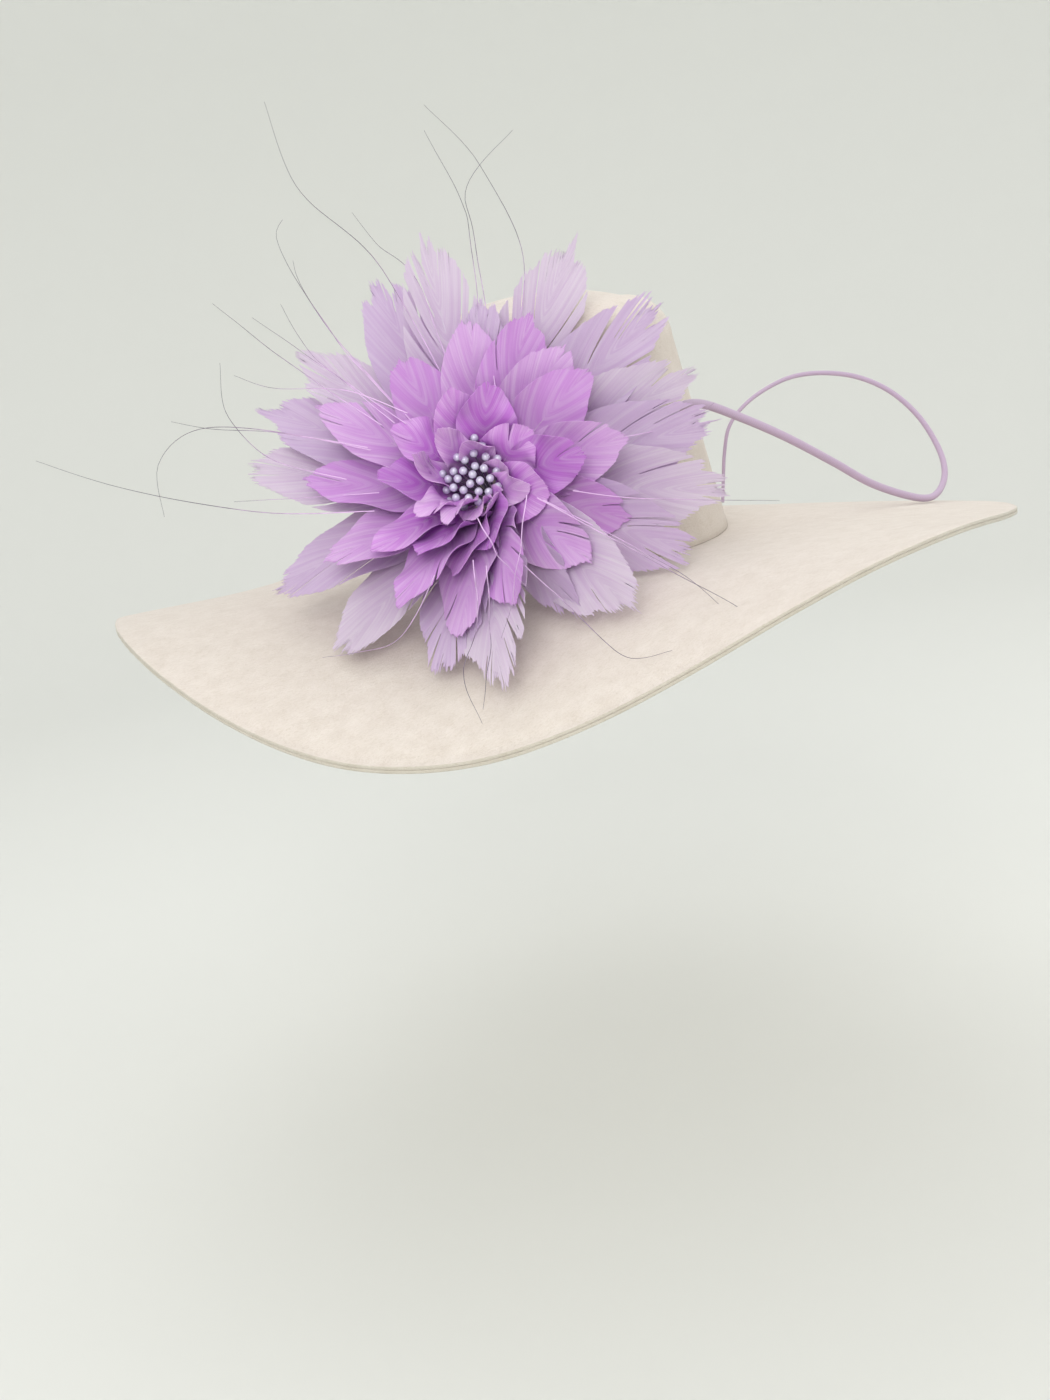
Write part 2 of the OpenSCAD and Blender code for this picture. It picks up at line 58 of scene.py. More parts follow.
CROWN_WIDTH = 174
CROWN_LENGTH = 208
CROWN_HEIGHT = 129
CROWN_LEAN = math.tan(math.radians(9.8))
SHOULDER_RADIUS = 25
TOP_DOME = 7.8
CROWN_FELT = 2.2
SEWN_GAP = 0.1
BRIM_RADIUS = 248
BRIM_SET_BACK = 11
BRIM_SKEW = 3
BRIM_FELT = 1.6
COLLAR_HEIGHT = 12
WIRE_D = 1.1
WIRE_INSET = 5
RIBBON_HEIGHT = 25
RIBBON_THICKNESS = 0.6
RIBBON_GAP = 0.3
RIBBON_LOW = -1
STITCH_LENGTH = 4
THREAD_D = 0.6
FLOWER_BEARING = math.radians(223)
FLOWER_HEIGHT = 37
FLOWER_FACING = math.radians(232)
FLOWER_TILT = math.radians(24)
BASE_D = 56
BASE_THICKNESS = 2.4
STEM_LENGTH = 14
BINDING_D = 10
PEARL_D = 4
PEARL_COUNT = 34
STAMEN_HEIGHT = 38
QUILL_THICK_D = 5.2
QUILL_THIN_D = 2
WINDING = 0.45
FILAMENT_D = 0.7
HEAD_STITCHES = 36
HEAD_STITCH_Z = 5
DISC_STITCHES = 10
COLLAR_OUTER = CROWN_FELT + SEWN_GAP
COLLAR_INNER = COLLAR_OUTER + BRIM_FELT
RIBBON_OUTER = COLLAR_INNER + RIBBON_GAP
RIBBON_INNER = RIBBON_OUTER + RIBBON_THICKNESS

# Each feather: (turn round the flower in degrees, reach, rise towards the viewer)
OUTER = [
    (99, 123, 28), (85, 90, 29), (67, 129, 13), (43, 126, 3), (26, 113, -3), (13, 113, -7),
    (-4, 116, -9), (-22, 106, 5), (-44, 106, 48), (-56, 85, 37), (-79, 108, 75), (-96, 95, 57),
    (-129, 103, 40), (-159, 114, 23), (169, 118, 20), (154, 122, 18), (138, 121, 17), (114, 120, 21),
]
MIDDLE = [
    (87, 77, 36), (68, 84, 29), (52, 78, 27), (39, 74, 27), (10, 75, 27), (-18, 74, 13), (-41, 75, 46),
    (-67, 76, 69), (-90, 82, 59), (-112, 72, 64), (-152, 79, 42), (176, 82, 36), (150, 85, 40),
    (118, 67, 42),
]
INNER = [
    (98, 40, 48), (72, 44, 44), (30, 35, 38), (6, 57, 35), (-23, 42, 44), (-66, 44, 50), (-90, 52, 48),
    (-113, 48, 53), (-140, 58, 50), (-182, 44, 44), (141, 43, 46),
]
CENTRE = [
    (118, 23, 55), (70, 20, 51), (7, 21, 39), (-24, 30, 45), (-54, 29, 49), (-78, 27, 51),
    (-104, 25, 61), (-137, 28, 56), (171, 28, 53),
]
# The quill's route, across from the flower's centre and up from the brim's face
QUILL = [
    (8, 1, 36), (17, -6, 43), (31, -13, 52), (51, -20, 59), (74, -24, 65), (96, -24, 70),
    (113, -23, 70), (136, -21, 60), (166, -19, 45), (197, -17, 28), (222, -16, 14), (248, -15, 5),
    (265, -13, 3), (277, -9, 8), (286, -3, 18), (290, 6, 32), (287, 17, 50), (277, 28, 65),
    (262, 38, 74), (243, 46, 77), (223, 50, 75), (205, 53, 68), (190, 54, 59), (180, 55, 48),
    (175, 55, 33), (171, 53, 18), (167, 50, 6),
]
# Shares of the way along the quill at which its thickness is set, and the thickness there
QUILL_TAPER = [(0, 1), (0.42, 0.72), (0.6, 0.42), (0.85, 0.1), (1, 0)]
# Routes of the filaments from root to tip: (turn, reach, rise) in the flower's own frame
FILAMENTS = [
    [(100, 40, 30), (110, 119, 36), (117, 176, 44), (115, 225, 47)],
    [(60, 35, 26), (76, 114, 19), (87, 164, 22), (95, 199, 27)],
    [(80, 40, 28), (88, 120, 28), (90, 143, 30), (95, 181, 34)],
    [(70, 40, 30), (87, 120, 27), (89, 150, 28), (82, 183, 18)],
    [(132, 40, 40), (130, 87, 41), (128, 124, 44), (125, 158, 46), (122, 165, 46)],
    [(132, 50, 44), (130, 92, 47), (127, 128, 50), (125, 141, 50)],
    [(96, 40, 30), (103, 107, 31), (109, 133, 33), (111, 154, 34)],
    [(145, 50, 42), (143, 105, 44), (141, 163, 45)],
    [(136, 40, 42), (138, 79, 44), (139, 138, 48)],
    [(140, 45, 42), (138, 85, 42), (137, 109, 39), (133, 136, 39)],
    [(130, 40, 48), (141, 72, 51), (151, 104, 53), (152, 126, 55)],
    [(176, 60, 42), (169, 100, 43), (160, 128, 44), (150, 143, 44)],
    [(160, 50, 42), (161, 98, 41), (163, 138, 38), (163, 161, 38)],
    [(160, 50, 46), (162, 110, 46), (165, 143, 47), (172, 159, 46), (181, 157, 41)],
    [(196, 48, 42), (184, 105, 44), (176, 176, 48), (172, 224, 52)],
    [(184, 45, 38), (181, 71, 36), (178, 125, 29)],
    [(-14, 50, 32), (-12, 80, 22), (-7, 142, -8)],
    [(-28, 40, 50), (-32, 107, 49), (-33, 154, 50), (-35, 169, 51)],
    [(-27, 42, 46), (-31, 110, 43), (-34, 146, 42)],
    [(-60, 60, 66), (-55, 97, 66), (-53, 125, 71), (-46, 138, 70)],
    [(-80, 50, 68), (-81, 84, 82), (-85, 104, 94), (-81, 130, 107)],
    [(-74, 55, 70), (-78, 90, 82), (-81, 123, 101)],
    [(-100, 55, 68), (-109, 87, 69), (-129, 109, 58)],
    [(15, 60, 16), (15, 100, -6), (19, 119, -17)],
    [(-32, 40, 64), (-68, 76, 78), (-75, 92, 83)],
    [(-70, 31, 64), (-66, 56, 73), (-62, 76, 77)],
]


# ---- Properties ----


def colour_property(name, description, code):
    return FloatVectorProperty(
        name=name, description=description, subtype="COLOR", size=3, min=0, max=1, default=linear(code)
    )


def linear(code):
    """The linear colour of an sRGB hex code"""
    parts = [int(code[i:i + 2], 16) / 255 for i in (1, 3, 5)]
    return tuple(c / 12.92 if c <= 0.04045 else ((c + 0.055) / 1.055) ** 2.4 for c in parts)


class FeltSettings(bpy.types.PropertyGroup):
    ivory: colour_property("Ivory", "Colour of the felt's face", "#DDD2C7")
    # Darker than the face: partly the raw edge's denser fibre, partly painted shade on the edge that faces
    # sideways from the light
    cut: colour_property("Cut edge", "Colour of the felt's raw cut edge", "#C9C1B2")
    cloud: FloatProperty(
        name="Cloud size", description="Width of a thicker patch of wool", default=0.009, subtype="DISTANCE"
    )
    nap: FloatProperty(
        name="Nap size", description="Width of a tuft of the nap", default=0.0011, subtype="DISTANCE"
    )
    hand_wave: FloatProperty(
        name="Hand wave", description="Depth of the felt's uneven blocking, in mm", default=0.35, min=0
    )


class FlowerSettings(bpy.types.PropertyGroup):
    outer: colour_property("Outer feathers", "Colour of the outer feathers' middle", "#DBC2E2")
    middle: colour_property("Middle feathers", "Colour of the middle feathers' middle", "#D49BE0")
    inner: colour_property("Inner petals", "Colour of the inner petals' middle", "#C873DA")
    centre: colour_property("Centre petals", "Colour of the curled petals' middle", "#D48BE3")
    # Deep root colour of the feathers: partly their dye, partly painted shade where the petals crowd together
    # at the flower's heart
    root_dye_and_shade: colour_property("Throat", "Colour at the root of the feathers", "#9430A6")
    thickness: FloatProperty(
        name="Vane thickness", description="Thickness of a vane, in mm", default=0.22, min=0.1, max=0.6
    )
    seed: IntProperty(name="Seed", description="Start of the chance that frays the feathers", default=11)


class TrimSettings(bpy.types.PropertyGroup):
    pearl: colour_property("Pearl", "Colour of the pearl stamens", "#DCDAF0")
    quill: colour_property("Quill thread", "Colour of the thread wound round the quill", "#E6CCEA")
    # The tips' dark colour is painted shade, against the pale root's painted highlight
    hair: colour_property("Filament", "Colour of the filaments' tips", "#5F5466")
    thread_pitch: FloatProperty(
        name="Thread pitch", description="Distance between turns of the quill's thread", default=0.0013,
        subtype="DISTANCE",
    )


class StageSettings(bpy.types.PropertyGroup):
    floor_drop: FloatProperty(
        name="Floor drop", description="Depth of the floor below the head opening", default=0.36,
        subtype="DISTANCE",
    )
    floor: colour_property("Floor", "Colour of the floor and the wall", "#E1E2DE")
    key: FloatProperty(
        name="Key lamp", description="Power of the main soft lamp", default=17, subtype="POWER"
    )
    fill: FloatProperty(name="Fill lamp", description="Power of the side lamp", default=5, subtype="POWER")
    sky: FloatProperty(name="Sky", description="Strength of the even light all round", default=1.0, min=0)


# ---- Curves and routes ----


def mix(a, b, t):
    return a + (b - a) * t


def steps(first, last, count):
    """Evenly spaced values from first to last, both included"""
    return [mix(first, last, i / (count - 1)) for i in range(count)]


def lookup(pairs, x):
    """The value at x on straight lines through pairs"""
    for (a, low), (b, high) in zip(pairs, pairs[1:]):
        if x <= b:
            return mix(low, high, (x - a) / (b - a))
    return pairs[-1][1]


def smooth_route(route, count):
    """A smooth curve through the points of a route, with count steps from each point to the next"""
    last = len(route) - 1
    points = []
    for i in range(last):
        a, b, c, d = (Vector(route[k]) for k in (max(i - 1, 0), i, i + 1, min(i + 2, last)))
        for step in range(count):
            t = step / count
            even = 2 * a - 5 * b + 4 * c - d
            odd = 3 * b - a - 3 * c + d
            points.append(0.5 * (2 * b + (c - a) * t + even * t * t + odd * t * t * t))
    points.append(Vector(route[last]))
    return points


def even_stops(points, count):
    """Where evenly spaced points lie on a route: the point before each, and the share of the way on"""
    lengths = [0.0]
    for a, b in zip(points, points[1:]):
        lengths.append(lengths[-1] + (b - a).length)
    stops = []
    k = 0
    for target in steps(0, lengths[-1], count):
        while k < len(points) - 2 and lengths[k + 1] < target:
            k += 1
        span = lengths[k + 1] - lengths[k]
        stops.append((k, min(1, (target - lengths[k]) / span)))
    return stops


def even_route(points, count):
    """The same curve with its points evenly spaced"""
    return [points[k].lerp(points[k + 1], share) for k, share in even_stops(points, count)]


def directions(points):
    """The heading, side and lift at each point of a route, without a twist"""
    lift = Vector((0, 0, 1))
    found = []
    for i in range(len(points)):
        heading = (points[min(i + 1, len(points) - 1)] - points[max(i - 1, 0)]).normalized()
        side = heading.cross(lift)
        if side.length < 0.2:
            side = heading.orthogonal()
        side.normalize()
        lift = side.cross(heading)
        found.append((heading, side, lift))
    return found


# ---- Crown and brim outlines ----


def oval(half_width, half_length, angle):
    """Distance from the axis to an oval, at an angle"""
    return 1 / math.sqrt((math.cos(angle) / half_width) ** 2 + (math.sin(angle) / half_length) ** 2)


def crown_edge(angle, inset=0):
    half_width = max(CROWN_WIDTH / 2 - inset, 0.001)
    return oval(half_width, CROWN_LENGTH / 2 - inset, angle)


def polar(r, angle, z):
    return Vector((r * math.cos(angle), r * math.sin(angle), z))


def rim(angle):
    return BRIM_RADIUS + BRIM_SET_BACK * math.sin(angle) - BRIM_SKEW * math.sin(2 * angle)


def rim_wave(angle):
    """Height of the blocked wave at the rim"""
    return (
        -20.1
        + 1.3 * math.cos(angle) - 2.8 * math.sin(angle)
        - 2.5 * math.cos(2 * angle) - 14.8 * math.sin(2 * angle)
        - 11.4 * math.cos(3 * angle) + 4.2 * math.sin(3 * angle)
        + 7.1 * math.cos(4 * angle) - 2 * math.sin(4 * angle)
    )


def brim_z(r, angle):
    share = max(0, (r - crown_edge(angle)) / (rim(angle) - crown_edge(angle)))
    return rim_wave(angle) * (0.55 * share + 0.45 * share * share)


def uneven(point, size, depth):
    """A soft bump of that depth, which varies over that size"""
    return depth * noise.noise(point / size)


# ---- The flower's own frame ----

FACING = Vector((
    math.cos(FLOWER_FACING) * math.cos(FLOWER_TILT),
    math.sin(FLOWER_FACING) * math.cos(FLOWER_TILT),
    math.sin(FLOWER_TILT),
))
RIGHTWARD = Vector((-math.sin(FLOWER_FACING), math.cos(FLOWER_FACING), 0))
UPWARD = FACING.cross(RIGHTWARD)


def crown_point(bearing, z, out):
    """A point beside the crown's side, out from its felt"""
    r = crown_edge(bearing) - CROWN_LEAN * z + out / math.cos(math.atan(CROWN_LEAN))
    return polar(r, bearing, z)


FLOWER_CENTRE = crown_point(FLOWER_BEARING, FLOWER_HEIGHT, 0) + FACING * STEM_LENGTH


def in_flower(right, up, rise):
    return FLOWER_CENTRE + right * RIGHTWARD + up * UPWARD + rise * FACING


def flower_point(turn, reach, rise):
    angle = math.radians(turn)
    return in_flower(reach * math.cos(angle), reach * math.sin(angle), rise)


def over_brim(x, y):
    return brim_z(math.hypot(x, y), math.atan2(y, x))


def rested(place, clearance):
    """A place in the flower, lifted where it would come nearer to the brim's face than the clearance"""
    turn, reach, rise = place
    point = flower_point(turn, reach, rise)
    low = max(0, clearance - point.z + over_brim(point.x, point.y))
    return turn, reach + low * UPWARD.z * math.sin(math.radians(turn)), rise + low * FACING.z


# ---- Meshes ----


def add_grid(bm, columns, rows, place, size, finish=lambda row: 0):
    """A grid bent to shape: place(u, row) gives each point. Its map is in millimetres, of the size given"""
    uv = bm.loops.layers.uv.verify()
    known = set(bm.faces)
    made = bmesh.ops.create_grid(bm, x_segments=columns, y_segments=rows, size=0.5, calc_uvs=True)["verts"]
    for face in [f for f in bm.faces if f not in known]:
        face.material_index = finish(int((face.calc_center_median().y + 0.5) * rows))
        for loop in face.loops:
            loop[uv].uv = ((loop.vert.co.x + 0.5) * size[0], (loop.vert.co.y + 0.5) * size[1])
    for vert in made:
        vert.co = place(vert.co.x + 0.5, round((vert.co.y + 0.5) * rows)) * MM
    bmesh.ops.remove_doubles(bm, verts=made, dist=0.001 * MM)
    return [vert for vert in made if vert.is_valid]


def add_tube(bm, points, radius, sides, finish=0):
    """A round rod through points, closed at both ends. radius(row, u) gives its radius"""
    axes = directions(points)
    length = sum((b - a).length for a, b in zip(points, points[1:]))

    def place(u, row):
        side, lift = axes[row][1:]
        return points[row] + radius(row, u) * (side * math.cos(math.tau * u) + lift * math.sin(math.tau * u))

    girth = math.tau * radius(len(points) // 2, 0)
    made = add_grid(bm, sides, len(points) - 1, place, (girth, length), lambda row: finish)
    open_edges = {edge for vert in made for edge in vert.link_edges if edge.is_boundary}
    for face in bmesh.ops.holes_fill(bm, edges=list(open_edges), sides=0)["faces"]:
        face.material_index = finish
    return made


def add_piece(bm, name, finishes, replaced, crease=55):
    """Turns a finished bmesh into a piece that rides on the hat and stands for its solids"""
    bmesh.ops.recalc_face_normals(bm, faces=bm.faces[:])
    for face in bm.faces:
        face.smooth = True
    for edge in bm.edges:
        edge.smooth = edge.calc_face_angle(0) < math.radians(crease)
    mesh = bpy.data.meshes.new(name)
    bm.to_mesh(mesh)
    bm.free()
    for finish in finishes:
        mesh.materials.append(finish)
    piece = bpy.data.objects.new(name, mesh)
    bpy.context.scene.collection.objects.link(piece)
    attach(piece, "root")
    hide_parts(*replaced)


# ---- Finishes ----


def output_of(source):
    """A node's main output, or the output that is given"""
    if not isinstance(source, bpy.types.Node):
        return source
    return source.outputs["Result"] if "Result" in source.outputs else source.outputs[0]


def add(tree, kind, settings=None, links=None):
    """Adds a shader node, sets its sockets and options, and links its sockets to nodes or outputs"""
    node = tree.nodes.new("ShaderNode" + kind)
    for key, value in (settings or {}).items():
        if isinstance(key, int) or key in node.inputs:
            node.inputs[key].default_value = value
        else:
            setattr(node, key, value)
    for key, source in (links or {}).items():
        tree.links.new(output_of(source), node.inputs[key])
    return node


def new_finish(name, settings):
    """A material with one Principled shader, and its tree"""
    material = bpy.data.materials.new(name)
    material.use_nodes = True
    tree = material.node_tree
    tree.nodes.clear()
    shader = add(tree, "BsdfPrincipled", settings)
    add(tree, "OutputMaterial", None, {"Surface": shader})
    return material, tree, shader


def rgba(colour, share=1.0, towards=(0, 0, 0)):
    """A colour with full alpha, mixed towards another one by 1 - share"""
    return tuple(mix(t, c, share) for c, t in zip(colour, towards)) + (1,)


WHITE = (1, 1, 1)


def shades(colour, dark, pale):
    """Settings of a mix from a colour darkened to one share to the colour paled to another"""
    return {"data_type": "RGBA", "A": rgba(colour, dark), "B": rgba(colour, pale, WHITE)}


def finish_surface(tree, shader, colour, bump=None):
    """Links a shader to the nodes that make its colour and its relief"""
    tree.links.new(output_of(colour), shader.inputs["Base Color"])
    if bump:
        tree.links.new(bump.outputs[0], shader.inputs["Normal"])


def wool_felt(name, colour, settings):
    """Blocked wool felt: matt, with clouds of thicker and thinner wool, crossed fibres and a soft nap"""
    material, tree, shader = new_finish(name, {
        "Roughness": 0.94, "Specular IOR Level": 0.18, "Sheen Weight": 0.25, "Sheen Roughness": 0.5,
    })
    place = add(tree, "TexCoord").outputs["Object"]
    clouds = add(tree, "TexNoise", {"Scale": 1 / settings.cloud, "Detail": 3}, {"Vector": place})
    nap = add(tree, "TexNoise", {
        "Scale": 1 / settings.nap, "Detail": 5, "Roughness": 0.65, "Distortion": 0.8,
    }, {"Vector": place})
    across = add(tree, "Mapping", {"Scale": (0.25, 1, 1), "Rotation": (0, 0, 0.9)}, {"Vector": place})
    fibres = add(tree, "TexNoise", {
        "Scale": 1 / settings.nap, "Detail": 3, "Distortion": 2.2,
    }, {"Vector": across})
    tone = add(tree, "Mix", shades(colour, 0.9, 0.8), {"Factor": clouds})
    flecks = add(tree, "ValToRGB", None, {"Fac": fibres})
    flecks.color_ramp.elements[0].position = 0.3
    flecks.color_ramp.elements[0].color = (0.86, 0.84, 0.8, 1)
    flecks.color_ramp.elements[1].position = 0.56
    flecks.color_ramp.elements[1].color = (1, 1, 1, 1)
    worn = add(tree, "Mix", {"data_type": "RGBA", "blend_type": "MULTIPLY", "Factor": 0.75},
               {"A": tone, "B": flecks})
    rough = add(tree, "Math", {"operation": "ADD"}, {0: nap, 1: fibres})
    bump = add(tree, "Bump", {"Strength": 0.55, "Distance": 0.0005}, {"Height": rough})
    finish_surface(tree, shader, worn, bump)
    return material


def dyed_feather(name, root_dye_and_shade, body, tip, glow):
    """A dyed feather vane: fine barbs in streaks, satin across them, with light glowing through. Its deep root
    colour is partly dye and partly painted shade
    """
    material, tree, shader = new_finish(name, {
        "Roughness": 0.62, "Specular IOR Level": 0.3, "Sheen Weight": 0.25, "Sheen Roughness": 0.35,
        "Sheen Tint": rgba(tip, 0.5, WHITE),
    })
    reach = add(tree, "Attribute", {"attribute_name": "reach"}).outputs["Fac"]
    streak = add(tree, "Attribute", {"attribute_name": "streak"}).outputs["Fac"]
    place = add(tree, "UVMap", {"uv_map": "UVMap"})
    ramp = add(tree, "ValToRGB", None, {"Fac": reach})
    # The ramp starts at the root colour, which is partly dye and partly painted shade between the crowded
    # petals
    ramp.color_ramp.elements[0].color = rgba(root_dye_and_shade)
    ramp.color_ramp.elements[0].position = 0.02
    ramp.color_ramp.elements[1].color = rgba(tip)
    ramp.color_ramp.elements[1].position = 0.98
    ramp.color_ramp.elements.new(0.5).color = rgba(body)
    # Barbs lie 0.5 mm apart and fade along their length
    along = add(tree, "Mapping", {"Scale": (1 / 0.5, 0.05, 1)}, {"Vector": place})
    barbs = add(tree, "TexNoise", {"Scale": 1, "Detail": 2, "Roughness": 0.6}, {"Vector": along})
    wide = add(tree, "Mapping", {"Scale": (1 / 4, 0.04, 1)}, {"Vector": place})
    bands = add(tree, "TexNoise", {"Scale": 1, "Detail": 1}, {"Vector": wide})
    deep = add(tree, "MapRange", {"From Min": 0.35, "From Max": 0.68, "To Min": 0, "To Max": 0.4},
               {"Value": barbs})
    band = add(tree, "MapRange", {"From Min": 0.4, "From Max": 0.65, "To Min": 0, "To Max": 0.5},
               {"Value": bands})
    paler = add(tree, "Mix", {"data_type": "RGBA", "B": rgba(tip, 0.55, WHITE)}, {"Factor": band, "A": ramp})
    body, root_dye_and_shade = Vector(body), Vector(root_dye_and_shade)
    richer = add(tree, "Mix", {"data_type": "RGBA", "B": rgba(mix(body, root_dye_and_shade, 0.35))},
                 {"Factor": deep, "A": paler})
    shade = add(tree, "MapRange", {"To Min": 0, "To Max": 0.32}, {"Value": streak})
    dyed = add(tree, "Mix", {"data_type": "RGBA", "B": rgba(mix(body, root_dye_and_shade, 0.2))},
               {"Factor": shade, "A": richer})
    bump = add(tree, "Bump", {"Strength": 0.5, "Distance": 0.0003}, {"Height": barbs})
    finish_surface(tree, shader, dyed, bump)
    through = add(tree, "BsdfTranslucent", None, {"Color": dyed, "Normal": bump})
    both = add(tree, "MixShader", {0: glow}, {1: shader, 2: through})
    tree.links.new(both.outputs[0], tree.nodes["Material Output"].inputs["Surface"])
    return material


def feather_shaft(name, colour):
    """A feather's shaft: horn-like, smooth and paler than the vane, with faint growth marks along it"""
    material, tree, shader = new_finish(name, {
        "Roughness": 0.38, "Specular IOR Level": 0.5, "Coat Weight": 0.1,
    })
    place = add(tree, "TexCoord").outputs["Object"]
    marks = add(tree, "TexNoise", {"Scale": 1 / 0.004, "Detail": 2}, {"Vector": place})
    tone = add(tree, "Mix", shades(colour, 0.75, 0.8), {"Factor": marks})
    finish_surface(tree, shader, tone)
    return material


def twisted_thread(name, colour, pitch):
    """Spun thread: soft gloss on each ply, with painted shade darkening the grooves between the plies and a
    painted highlight paling each ply's crest
    """
    material, tree, shader = new_finish(name, {
        "Roughness": 0.5, "Specular IOR Level": 0.35, "Sheen Weight": 0.35, "Sheen Roughness": 0.4,
    })
    place = add(tree, "UVMap", {"uv_map": "UVMap"})
    slant = add(tree, "Mapping", {"Scale": (1 / pitch, 1 / pitch, 1), "Rotation": (0, 0, 0.6)},
                {"Vector": place})
    plies = add(tree, "TexWave", {"Scale": 1, "Distortion": 0.6, "Detail": 1}, {"Vector": slant})
    # Painted shade in the grooves and painted highlight on the crests, from the same wave as the relief
    tone = add(tree, "Mix", shades(colour, 0.62, 0.86), {"Factor": plies.outputs[1]})
    bump = add(tree, "Bump", {"Strength": 0.5, "Distance": 0.0002}, {"Height": plies.outputs[1]})
    finish_surface(tree, shader, tone, bump)
    return material


def ribbed_ribbon(name, colour):
    """Petersham ribbon: cross ribs with a dull silk gloss and a fine warp over them"""
    material, tree, shader = new_finish(name, {
        "Roughness": 0.6, "Specular IOR Level": 0.3, "Sheen Weight": 0.3, "Sheen Roughness": 0.4,
    })
    place = add(tree, "UVMap", {"uv_map": "UVMap"})
    warp = add(tree, "Mapping", {"Scale": (0.2, 1 / 0.8, 1)}, {"Vector": place})
    threads = add(tree, "TexNoise", {"Scale": 1, "Detail": 2}, {"Vector": warp})
    tone = add(tree, "Mix", shades(colour, 0.78, 0.85), {"Factor": threads})
    bump = add(tree, "Bump", {"Strength": 0.4, "Distance": 0.0002}, {"Height": threads})
    finish_surface(tree, shader, tone, bump)
    return material


def lacquered_pearl(name, colour):
    """A dipped pearl stamen: nacre lacquer, a soft body gloss under a sharper clear coat"""
    material, tree, shader = new_finish(name, {
        "Metallic": 0.2, "Roughness": 0.34, "Coat Weight": 0.7, "Coat Roughness": 0.12,
        "Coat Tint": (1, 0.97, 1, 1),
    })
    place = add(tree, "TexCoord").outputs["Object"]
    swirl = add(tree, "TexNoise", {"Scale": 1 / 0.0025, "Detail": 3, "Distortion": 1.5}, {"Vector": place})
    tone = add(tree, "Mix", shades(colour, 0.7, 0.75), {"Factor": swirl})
    bump = add(tree, "Bump", {"Strength": 0.08, "Distance": 0.0002}, {"Height": swirl})
    finish_surface(tree, shader, tone, bump)
    return material


def stripped_hair(name, root, tip):
    """A stripped feather hair, pale pink near the root and dark and dull towards its tip: painted highlight
    where it lies over the flower, painted shade where it stands out against the wall
    """
    material, tree, shader = new_finish(name, {"Roughness": 0.5, "Specular IOR Level": 0.4})
    reach = add(tree, "Attribute", {"attribute_name": "reach"}).outputs["Fac"]
    place = add(tree, "TexCoord").outputs["Object"]
    patches = add(tree, "TexNoise", {"Scale": 1 / 0.006}, {"Vector": place})
    shifted = add(tree, "Math", {"operation": "MULTIPLY_ADD", 1: 0.3, 2: -0.15}, {0: patches})
    share = add(tree, "Math", {"operation": "ADD"}, {0: shifted, 1: reach})
    # Painted highlight at the root turning to painted shade towards the tip, by distance from the flower's
    # centre
    ramp = add(tree, "ValToRGB", None, {"Fac": share})
    ramp.color_ramp.elements[0].color = rgba(root)
    ramp.color_ramp.elements[0].position = 0.42
    ramp.color_ramp.elements[1].color = rgba(tip)
    ramp.color_ramp.elements[1].position = 0.72
    finish_surface(tree, shader, ramp)
    return material


def drawn_steel(name, colour, roughness):
    """Drawn steel: fine bright lines along the draw, slightly dulled"""
    material, tree, shader = new_finish(name, {"Metallic": 1})
    place = add(tree, "TexCoord").outputs["Object"]
    lines = add(tree, "TexNoise", {"Scale": 1 / 0.0008, "Detail": 4}, {"Vector": place})
    tone = add(tree, "Mix", {"data_type": "RGBA", "A": rgba(colour, 0.8), "B": rgba(colour)},
               {"Factor": lines})
    dull = add(tree, "MapRange", {"To Min": roughness - 0.1, "To Max": roughness + 0.1}, {"Value": lines})
    finish_surface(tree, shader, tone)
    tree.links.new(dull.outputs[0], shader.inputs["Roughness"])
    return material


# ---- Crown and brim ----

CROWN_COLUMNS = 288
BRIM_COLUMNS = 432


def crown_rows(wall, low, side_steps, turn_steps, top_steps):
    """Inset and height of each row of the crown's skin, from its foot to the ridge on top"""
    side_z = CROWN_HEIGHT - SHOULDER_RADIUS
    side_inset = wall + CROWN_LEAN * side_z
    turn = SHOULDER_RADIUS - wall
    rows = [(wall + CROWN_LEAN * z, z) for z in steps(low, side_z, side_steps)]
    for a in steps(0, math.pi / 2, turn_steps)[1:]:
        rows.append((side_inset + turn * (1 - math.cos(a)), side_z + turn * math.sin(a)))
    for share in steps(0, 1, top_steps)[1:]:
        inset = mix(side_inset - wall + SHOULDER_RADIUS, CROWN_WIDTH / 2, share)
        rows.append((inset, CROWN_HEIGHT - wall + TOP_DOME * (1 - (1 - share) ** 2)))
    return rows


def build_crown(settings):
    foot = [(CROWN_FELT * 0.75, SEWN_GAP), (CROWN_FELT * 0.25, SEWN_GAP)]
    outside = crown_rows(0, 0.6, 22, 10, 14)
    inside = crown_rows(CROWN_FELT, 0.6, 12, 7, 8)[::-1]
    rows = foot + outside + inside + foot[:1]

    def place(u, row):
        inset, z = rows[row]
        angle = math.tau * u
        point = polar(crown_edge(angle, inset), angle, z)
        slack = min(1, z / 40)
        return point * (1 + uneven(point, 42, settings.hand_wave * slack) / 100)

    bm = bmesh.new()
    girth = math.pi * (CROWN_WIDTH + CROWN_LENGTH) / 2
    add_grid(bm, CROWN_COLUMNS, len(rows) - 1, place, (girth, 2 * CROWN_HEIGHT))
    felt = wool_felt("ivory blocked wool felt", settings.ivory, settings)
    add_piece(bm, "crown_felt", [felt], ["crown"])


def groove_rows(angle, drop, depth):
    """The wire's groove in a felt face, as radius and height, from the rim inwards"""
    half = WIRE_D / 2 + 0.1
    out = rim(angle) - WIRE_INSET + half
    back = rim(angle) - WIRE_INSET - half
    floor = brim_z(rim(angle) - WIRE_INSET, angle) + drop + depth
    return [
        (out, brim_z(out, angle) + drop), (out, floor), (back, floor), (back, brim_z(back, angle) + drop)
    ]


